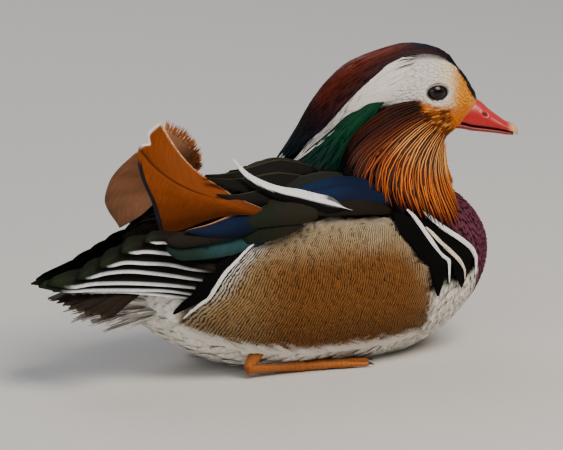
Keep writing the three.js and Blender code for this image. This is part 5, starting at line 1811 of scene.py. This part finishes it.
# %% [markdown]
# ## Scapulars
# The feathers over the shoulder are the drake's finery: a long white blade with a black lower edge, dark
# pointed feathers whose tips reach the sails, and broad blue and grey-green ones at the front. All lie in
# front of the folded wing.

# %% Outline and colours of the shoulder feathers
WHITE_BLADE = [
    [5, -45, 87.2], [-6, -44.2, 90.9], [-14, -41.9, 93], [-24.6, -38.9, 96.3], [-34, -36.6, 99],
    [-43.5, -34.5, 103.6], [-51, -31.5, 109], [-58, -27.5, 118.6],
]


def blade(t):
    """Outline of the white blade, which narrows to a point at both ends."""
    return np.clip(smooth(0.03, 0.2, t), 0.05, 1) * np.clip((1.01 - t) / 0.6, 0.03, 1) ** 0.75


def blade_tint(q, t):
    border = np.interp(t, [0, 0.3, 0.6, 0.8, 1], [-0.1, 0.0, 0.0, -0.5, -1.2])
    return paint(
        "#f6f5f3",
        ("#1a110a", smooth(0.22, 0.205, t) * smooth(0.35, 0.45, q)),
        (BLACK, smooth(0.1, -0.1, q - border)),
        ("#bdb9b4", smooth(0.35, 0.9, q - border) * 0.25),
    )


def dark_tint(q, t):
    return paint(
        "#100e09",
        (BLACK, smooth(-0.3, -0.9, q) * 0.7),
        ("#4b432c", smooth(0.84, 0.96, q) * 0.8),
    )


def shoulder_blue(q, t):
    return paint(
        "#04142e",
        ("#02060f", smooth(-0.3, -0.9, q)),
        ("#0a2346", smooth(0.35, 0.7, t) * smooth(-0.2, 0.4, q) * 0.6),
    )


def grey_green(q, t):
    return paint(
        "#1c2018",
        ("#0f110d", smooth(-0.2, -0.9, q)),
        ("#45462f", smooth(0.8, 0.95, np.abs(q)) * 0.5),
    )


def brown_strip(q, t):
    return paint("#1a110a", ("#d8d2c6", smooth(0.5, 0.8, q) * smooth(0.8, 0.9, t) * 0.9))


print("white blade from", WHITE_BLADE[0], "to", WHITE_BLADE[-1])

# %% Places of the shoulder feathers
SHOULDER_PARTS = [
    (
        [[31, -41.5, 84], [18, -43.5, 87], [6, -42.5, 89.5], [-8, -41, 91.5]],
        [0, -0.9, 0.5], 8.0, brown_strip, leaf,
    ),
    (
        [[16, -44, 85.5], [4, -43.5, 88], [-8, -42, 90], [-24, -40, 91.5]],
        [0, -0.9, 0.5], 8.0, brown_strip, leaf,
    ),
    (
        [[4, -43, 86.5], [-10, -42, 90], [-26, -39, 92.5], [-42, -36, 94]],
        [0, -0.9, 0.5], 11.0, brown_tint, leaf,
    ),
    (
        [[12, -24, 101.5], [0, -26, 101.5], [-12, -27.5, 100.8], [-26, -28, 100]],
        [0, -0.7, 0.75], 11.0, grey_green, leaf,
    ),
    (
        [[30, -33, 93.5], [18, -32.5, 97], [6, -33, 98.2], [-10, -33.5, 97.2], [-24, -33, 97]],
        [0, -0.8, 0.6], 12.5, shoulder_blue, leaf,
    ),
    (
        [[33, -39.5, 88], [22, -39.5, 91.5], [9, -39.5, 94], [-6, -39.5, 94.4], [-20, -37, 95]],
        [0, -0.85, 0.55], 11.5, shoulder_blue, leaf,
    ),
    (
        [[-2, -18, 105.5], [-20, -19, 108.3], [-40, -21.5, 107.6], [-58, -24, 107.6], [-74, -27, 111]],
        [0, -0.75, 0.65], 11.5, dark_tint, lance,
    ),
    (
        [[-8, -24, 101.5], [-26, -26, 102.5], [-44, -28, 103], [-60, -30, 105.5], [-75, -30.5, 110]],
        [0, -0.8, 0.6], 12.5, dark_tint, lance,
    ),
    (
        [[-4, -9, 107.5], [-20, -9.5, 109.3], [-36, -11, 107.6], [-52, -13, 105.4]],
        [0, -0.45, 0.9], 11.5, dark_tint, lance,
    ),
    (
        [[-14, -32, 95.5], [-30, -33.5, 97], [-46, -34.5, 97.5], [-60, -34.5, 98.5], [-71, -33.5, 101.5]],
        [0, -0.9, 0.45], 10.0, dark_tint, lance,
    ),
    (WHITE_BLADE, [-0.15, -0.93, 0.3], 9.0, blade_tint, blade),
]
print("shoulder feathers on each side:", len(SHOULDER_PARTS))

# %% Shoulder feathers
for side, label in SIDES:
    items = []
    for path, out, width, tint, outline in SHOULDER_PARTS:
        path = np.array(path, float)
        if side > 0:
            if tint is dark_tint:
                path = path[0] + (path - path[0]) * 0.78
            start, end, most = (5, -20, 11) if tint is blade_tint else (-30, -60, 5)
            outer = most * smooth(start, end, path[:, :1])
            path = path - np.concatenate([0 * outer, outer, 13 * smooth(10, -50, path[:, :1])], axis=1)
        items.append((single(path, unit(np.array(out, float)), width, outline, cup=0.14, thick=0.45), tint))
    stack(f"shoulder_feathers_{label}", items, FLIGHT, (f"scapular_{label}",), side)

# %% [markdown]
# ## Sails
# The innermost wing feather of the drake is his sail: its outer web is widened to a stiff orange fan that
# stands over the back. Each is a sheet between three measured edges. A shallow groove is the shaft, the
# upper edge is fringed in white, and a slate band closes the web behind.

# %% Edges of the sails
SAIL_EDGES = {
    "right": (
        [
            [-47.5, 40, 93], [-60.6, 32, 99.8], [-70, 26, 107], [-75.5, 22, 111.7], [-81, 18, 118.4],
            [-87, 14, 128.5], [-93.6, 14, 139.7],
        ],
        [[-46, 41, 88], [-58, 38, 90], [-66.9, 34, 89.5], [-77.6, 30, 86.5], [-89, 26, 82.4], [-99, 23, 81]],
        [
            [-93.6, 14, 139.7], [-103.5, 14.5, 133], [-108.6, 15, 122], [-107.6, 17, 112],
            [-102.7, 20, 98], [-99, 23, 81],
        ],
    ),
    "left": (
        [[-47.5, 40, 93], [-49, 30, 99], [-54, 21, 109], [-60, 15, 118], [-66, 13.5, 124], [-76, 13, 129]],
        [[-46, 41, 88], [-58, 38, 89], [-70, 33, 86], [-84, 27, 80], [-98.5, 23, 76]],
        [
            [-76, 13, 129], [-86, 12, 124], [-97, 13, 115.5], [-106.5, 15, 106], [-110, 17, 95],
            [-98.5, 23, 76],
        ],
    ),
}
SAIL_CAMBER = 3.0
SAIL_THICK = 0.6


def sail_points(edges, side, s, t):
    """A place on the sail: s from the lower to the front edge, t from the root to the rear edge."""
    front, low, rear = [line(edge) for edge in edges]
    s, t = np.broadcast_arrays(s, t)
    ruled = mix(low(t), front(t), s[..., None])
    straight_rear = mix(low(np.ones_like(s)), front(np.ones_like(s)), s[..., None])
    place = ruled + mix(np.zeros(3), rear(1 - s) - straight_rear, t[..., None])
    camber = SAIL_CAMBER * np.sin(np.pi * s) * np.sin(np.pi * np.minimum(1, 0.9 * t))
    shaft = shaft_line(t)
    camber = camber - 0.7 * peak(s - shaft, 0.02) * smooth(0.3, 0.5, t)
    camber = camber + 0.35 * np.sin(s * 40 + t * 3) * smooth(0.5, 1.0, t) * 0.3
    place = place + camber[..., None] * np.array([0, 1, 0])
    notch = peak(s - 0.8, 0.035) * smooth(0.86, 1.0, t)
    place = place + notch[..., None] * np.array([3.2, 0, -3.0])
    return place * [1, side, 1]


def shaft_line(t):
    return 0.52 + 0.2 * np.asarray(t) ** 2


SAIL_ORANGE = linear("#7c3a0a")
SAIL_LIGHT = linear("#8e4610")
SAIL_BROWN = linear("#4a2006")
SAIL_SLATE = linear("#1c1c22")


def sail_tint(s, t):
    """Orange webs with a dark shaft, a slate band behind and a white upper corner."""
    slate = smooth(0.66, 0.58, s)
    shaft = peak(s - shaft_line(t), 0.014) * smooth(0.35, 0.55, t)
    return paint(
        SAIL_ORANGE,
        (SAIL_BROWN, smooth(0.5, 0.0, s) * 0.85),
        (SAIL_BROWN, smooth(0.35, 0.0, t) * 0.6),
        (SAIL_LIGHT, smooth(0.75, 0.95, s) * smooth(0.5, 0.9, t) * 0.15),
        ("#2a1203", shaft * 0.85),
        (SAIL_SLATE, smooth(0.96, 0.967, t) * slate),
        (BLACK, smooth(0.96, 0.964, t) * (1 - smooth(0.966, 0.972, t)) * slate),
        ("#efe6d8", smooth(0.968, 0.99, t) * smooth(0.7, 0.76, s)),
        ("#e3c9a4", smooth(0.975, 0.99, s) * 0.8),
    )


print("the sail's shaft ends at", shaft_line(1.0), "of its rear edge")

# %% Sail webs


def border(count, steps):
    """1 inside a row of places and less at its two ends, over a few steps."""
    return np.minimum(1, steps * np.minimum(np.linspace(0, 1, count), np.linspace(1, 0, count)))


def sheet(grid, away, thick):
    """A closed thin sheet over a grid of places."""
    rows, columns, _ = grid.shape
    thin = np.maximum(0.25, border(rows, 6)[:, None] * border(columns, 8))
    top = grid + away * (thick / 2 * thin)[..., None]
    low = grid - away * (thick / 2 * thin)[..., None]
    points = np.concatenate([top.reshape(-1, 3), low.reshape(-1, 3)])
    half = rows * columns
    i = np.arange(rows - 1)[:, None] * columns + np.arange(columns - 1)[None, :]
    upper = join(i, i + 1, i + columns + 1, i + columns).reshape(-1, 4)
    rim = np.concatenate([
        np.arange(columns), np.arange(1, rows) * columns + columns - 1,
        (rows - 1) * columns + np.arange(columns - 2, -1, -1), np.arange(rows - 2, 0, -1) * columns,
    ])
    after = np.roll(rim, -1)
    wall = join(after, rim, rim + half, after + half)
    return points, [np.concatenate([upper, upper[:, ::-1] + half, wall])]


for side, label in SIDES:
    s = np.linspace(0, 1, 90)[None, :]
    t = 1 - np.linspace(1, 0, 80)[:, None] ** 1.6
    s, t = np.broadcast_arrays(s, t)
    grid = sail_points(SAIL_EDGES[label], side, s, t)
    away = unit(np.cross(np.gradient(grid, axis=0), np.gradient(grid, axis=1)))
    points, faces = sheet(grid, away, SAIL_THICK)
    tone = sail_tint(s, t)
    within = paint(tone, ("#b88868", 0.55))
    outer = away[..., 1:2] * side > 0
    tone = np.concatenate([np.where(outer, tone, within), np.where(outer, within, tone)]).reshape(-1, 3)
    flat = join(s * 0.9 + 0.05, t * 0.44 + 0.02).reshape(-1, 2)
    bake = np.concatenate([flat, flat + [0, 0.5]])
    lie = join((s - 0.6) * 45, t * 70).reshape(-1, 2)
    build(
        f"sail_web_{label}", points, faces, FLIGHT, (f"sail_{label}",),
        tint=tone, bake=bake, vane=np.concatenate([lie, lie]),
    )

# %% Fringes
FRINGE_HAIR = linear("#b06a3c")
HAIRS = 260
for side, label in SIDES:
    edges = SAIL_EDGES[label]
    t0 = np.linspace(0.25, 0.97, HAIRS) + dice.normal(0, 0.004, HAIRS)
    t0 = np.clip(t0, 0.02, 0.99)
    base = sail_points(edges, side, np.full(HAIRS, 0.97), t0)
    inner = sail_points(edges, side, np.full(HAIRS, 0.8), t0)
    ahead = sail_points(edges, side, np.full(HAIRS, 0.97), np.clip(t0 + 0.03, 0, 1))
    grow = unit(base - inner)
    grow = unit(grow + 0.5 * unit(ahead - base) + dice.normal(0, 0.12, (HAIRS, 3)))
    reach = (5.5 if side > 0 else 1.6) * (0.6 + 0.7 * dice.random(HAIRS))
    s = np.linspace(0, 1, 5)
    centre = base[:, None] + grow[:, None] * (reach[:, None] * s)[..., None]
    out = np.broadcast_to(np.array([0.0, side, 0.2]), centre.shape)
    made = vanes(centre, out, np.full(HAIRS, 0.55), strand(s), 0.1, 0.25)
    tint = FRINGE_HAIR * (1 + dice.normal(0, 0.15, (HAIRS, 1, 1, 1))) * np.ones(made["points"].shape)
    place = join(0.1 + 0.8 * t0, np.full(HAIRS, 0.5))
    feathers(f"sail_fringe_{label}", made, np.clip(tint, 0, 1), place, PLUSH)

# %% [markdown]
# ## Tail and undertail
# The tail is a short fan of brown quills, hidden from above by the wing tips. Below it hang soft white
# and grey plumes.

# %% Tail


def tail_tint(q, t):
    return paint(
        "#2a2018",
        ("#17110b", smooth(0.3, 1.0, np.abs(q))),
        ("#57492f", smooth(0.97, 1.0, t) * 0.6),
    )


items = []
VANES = 14
for i in range(VANES):
    share = (i / (VANES - 1)) * 2 - 1
    fan = math.radians(24 * share)
    reach = 56 - 9 * abs(share) ** 1.6
    t = np.linspace(0, 1, 6)
    x = -94 - reach * t * math.cos(fan)
    y = 9 * share + reach * t * math.sin(fan)
    z = 57.2 - 5 * t - 6 * t**2 - 4.5 * abs(share) * (0.4 + 0.6 * t) + 0.25 * (i % 2)
    up = unit(np.array([0, 0.25 * share, 1.0]))
    items.append((single(join(x, y, z), up, 9.5, quill, rows=16, cup=0.1), tail_tint))
stack("tail_quills", items, FLIGHT, ("tail",))

# %% Undertail plumes
PLUMES = 420
u = dice.uniform(-1, 1, PLUMES)
start = dice.random(PLUMES)
x0 = mix(-86, -112, start)
y0 = u * mix(20, 10, start)
z0 = mix(32, 42, start) + 5 * u**2
reach = 18 + 14 * dice.random(PLUMES)
s = np.linspace(0, 1, 6)
fall = mix(-0.25, 0.42, dice.random(PLUMES))
centre = join(
    x0[:, None] - reach[:, None] * s,
    y0[:, None] * (1 - 0.12 * s) + dice.normal(0, 1.0, (PLUMES, 1)) * s,
    z0[:, None] + reach[:, None] * (fall[:, None] * s) + dice.normal(0, 0.7, (PLUMES, 1)) * s,
)
out = np.broadcast_to(join(0.0, 0.9 * u, -1.0)[:, None], centre.shape)
fluff = vanes(centre, out, 3.2 + 1.5 * dice.random(PLUMES), strand(s), 0.3, 0.25)
shade = dice.random(PLUMES)[:, None, None] ** 2
tone = paint("#e2ddd5", ("#7e766c", shade * 0.8))
# The plumes darken towards the root and lighten towards the tip: painted shade and painted light.
tint = np.clip(tone * mix(0.75, 1.05, s)[None, :, None, None], 0, 1) * np.ones(fluff["points"].shape)
place = join(0.5 + u * 0.4, 0.1 + start * 0.8)
feathers("undertail_plumes", fluff, tint, place, SOFT_FEATHER, ("undertail",))

# %% [markdown]
# ## Feet
# A sitting duck tucks its legs along the belly: shank back to the heel, toes forward, the web folded
# between them. Feet wear no feathers but small horny scales, in rings along the toes. The toes are built
# as tubes that swell at each joint, the web as a thin sheet, and each toe ends in a dark blunt claw.

# %% Limbs and webs
FOOT_ORANGE = linear("#b8651a")
WEB_DARK = linear("#3a2414")
CLAW = linear("#191411")
HEEL = np.array([-52.0, 33.0, 5.0])
KNUCKLE = np.array([-18.0, 33.0, 2.4])


def scale_material():
    """Leathery skin with small horny scales."""
    material, tree = fresh("Horny_Foot_Scales")
    tint = node(tree, "Attribute", attribute_name="Tint")
    place = node(tree, "TexCoord").outputs["Object"]
    scales = node(tree, "TexVoronoi", {"Vector": place, "Scale": 1 / (1.1 * MM)}, feature="DISTANCE_TO_EDGE")
    seam = node(tree, "MapRange", {0: scales, 1: 0.0, 2: 0.12, 3: 0.55, 4: 1.0})
    colour = node(tree, "VectorMath", {0: tint, 1: seam}, operation="MULTIPLY")
    finish_material(tree, colour, seam, 0.5, 0.15, Roughness=0.55, IOR=1.5, Specular_IOR_Level=0.35)
    return material


def limb(path, radii, joints=(), rows=30, corners=14):
    """A tube along a curve that swells at its joints, given as shares of its length."""
    t = np.linspace(0, 1, rows)
    centre = line(path)(t)
    radius = line(np.array(radii)[:, None])(t)[:, 0]
    for joint in joints:
        radius = radius * (1 + 0.22 * peak(t - joint, 0.06))
    along = unit(np.gradient(centre, axis=0))
    across = unit(np.cross(along, np.array([0.0, 0.0, 1.0])))
    up = np.cross(across, along)
    turn = np.linspace(0, FULL_TURN, corners + 1)[:-1, None]
    ring = across[:, None] * np.cos(turn) + up[:, None] * np.sin(turn)
    places = centre[:, None] + ring * radius[:, None, None]
    places[..., 2] = np.maximum(places[..., 2], 0.1)
    return closed_tube(places)


def web_sheet(first, second, rows=16, columns=9):
    """A thin folded web between two toes, with a hollow front edge."""
    s = np.linspace(0.02, 1, rows)[:, None, None]
    w = np.linspace(0, 1, columns)[None, :, None]
    front = 0.9 - 0.14 * np.sin(np.pi * w)
    sheet_grid = KNUCKLE + (mix(first, second, w) - KNUCKLE) * s * front
    sheet_grid[..., 2] = 1.0 + 0.5 * np.sin(np.pi * 3 * w[..., 0])
    up = np.broadcast_to([0.0, 0.0, 1.0], sheet_grid.shape)
    return sheet(sheet_grid, up, 0.5)


print("heel to knuckle:", round(math.dist(HEEL, KNUCKLE), 1), "mm")

# %% Toes, webs and claws
FOOT_SCALES = scale_material()
for side, label in SIDES:
    tips = np.array([[17.0, 24.0, 1.4], [22.0, 33.0, 1.4], [17.0, 42.0, 1.4]])
    shank = limb([HEEL + [12, -3, 13], HEEL + [5, -1.5, 6], HEEL], [4.6, 3.2, 2.6])
    lower = limb([HEEL, [-35, 33, 3.6], KNUCKLE], [2.6, 2.1, 2.5], (0.0, 1.0), 40)
    pieces = [(shank, FOOT_ORANGE), (lower, FOOT_ORANGE * 0.95)]
    for tip in tips:
        joints = (0.3, 0.62) if tip[0] < 20 else (0.26, 0.52, 0.78)
        path = [KNUCKLE, mix(KNUCKLE, tip, 0.5) + [0, 0, 0.3], tip]
        pieces.append((limb(path, [2.3, 1.8, 1.1], joints, 44), FOOT_ORANGE))
        ahead = unit(tip - KNUCKLE)
        claw = [tip - ahead, tip + ahead * 1.6 + [0, 0, 0.3], tip + ahead * 3.6 - [0, 0, 0.7]]
        pieces.append((limb(claw, [1.0, 0.8, 0.15], rows=12, corners=10), CLAW))
    hind = KNUCKLE + [-2, -2, -0.2]
    pieces.append((limb([hind, hind + [-10, -3, -0.6]], [1.4, 0.8], (0.55,), 20), FOOT_ORANGE))
    claw = [hind + [-9.4, -2.8, -0.6], hind + [-13, -4, -1.0]]
    pieces.append((limb(claw, [0.7, 0.15], rows=8, corners=10), CLAW))
    for i in (0, 1):
        pieces.append((web_sheet(tips[i], tips[i + 1]), WEB_DARK))
    points, faces = together([part for part, _ in pieces])
    tone = np.concatenate([np.broadcast_to(colour, part[0].shape) for part, colour in pieces])
    tone = tone * (0.9 + 0.1 * np.sin(points[:, :1] * 2.4))
    flat = join((points[:, 0] + 60) / 90, (points[:, 1] - 20) / 90 + 0.3 * (points[:, 2] > 1.6))
    build(
        f"foot_{label}", points * [1, side, 1], faces, FOOT_SCALES, (f"leg_{label}",),
        tint=tone, bake=flat,
    )

# %% [markdown]
# ## Floor, light and camera
# A museum bird is looked at in soft, even light. The floor is plain and pale. One broad lamp stands high
# to the front and right, a weaker one fills the other side, and a dim grey world opens the shadows. The
# camera stands at the photograph's angle, far off with a long lens, as a bird photographer would.

# %% Floor


def floor_material():
    material, tree = fresh("Matt_Paper_Floor")
    place = node(tree, "TexCoord").outputs["Object"]
    fibre = node(tree, "TexNoise", {"Vector": place, "Scale": 700.0, "Detail": 3.0})
    tone = node(tree, "ValToRGB", {0: fibre})
    tone.color_ramp.elements[0].color = (*linear("#cfccc6"), 1)
    tone.color_ramp.elements[1].color = (*linear("#d9d6d1"), 1)
    finish_material(tree, tone, fibre, 0.05, Roughness=0.9)
    return material


floor_mesh = bpy.data.meshes.new("floor")
FLOOR_REACH = 4.0
FLOOR_DROP = -0.4 * MM
corners = [(-1, -1), (1, -1), (1, 1), (-1, 1)]
edges = [(x * FLOOR_REACH, y * FLOOR_REACH, FLOOR_DROP) for x, y in corners]
floor_mesh.from_pydata(edges, [], [(0, 1, 2, 3)])
floor_mesh.materials.append(floor_material())
floor = show("floor", floor_mesh)
print("floor", -FLOOR_DROP / MM, "mm under the bird")

# %% Light
middle = (cad_box[0] + cad_box[1]) / 2


def lamp(name, azimuth, elevation, distance, size, power, tone):
    """An area lamp that looks at the bird. Azimuth runs from the bird's front towards its left."""
    light = bpy.data.lights.new(name, "AREA")
    light.size = size
    light.energy = power
    light.color = linear(tone)
    holder = show(name, light)
    turn, rise = math.radians(azimuth), math.radians(elevation)
    away = Vector((math.cos(turn) * math.cos(rise), math.sin(turn) * math.cos(rise), math.sin(rise)))
    holder.location = middle + away * distance
    holder.rotation_euler = (-away).to_track_quat("-Z", "Y").to_euler()


lamp("key_light", -70, 52, 1.6, 0.9, 26, "#fff6ea")
lamp("fill_light", -150, 25, 1.8, 1.2, 7, "#eaf1ff")
lamp("far_light", 80, 40, 1.8, 1.2, 9.5, "#f4f6ff")
WORLD_GREY = "#c9ccd1"
WORLD_STRENGTH = 0.4
world = bpy.data.worlds.new("studio")
world.use_nodes = True
world.node_tree.nodes["Background"].inputs[0].default_value = (*linear(WORLD_GREY), 1)
world.node_tree.nodes["Background"].inputs[1].default_value = WORLD_STRENGTH
bpy.context.scene.world = world
print("lamps:", len(bpy.data.lights))

# %% Camera
LENS_MM = 355.3
DISTANCE = 3.0
camera_data = bpy.data.cameras.new("camera")
camera_data.sensor_width = 36
camera_data.lens = LENS_MM
camera = show("camera", camera_data)
backward = Vector((-0.48907, -0.8471, 0.20791)).normalized()
aim = Vector(to_frame([-1.95, 17.9, 68.35]).tolist())
camera.location = aim + backward * DISTANCE
camera.rotation_euler = backward.to_track_quat("Z", "Y").to_euler()
bpy.context.scene.camera = camera
print("camera at", [round(v, 3) for v in camera.location])
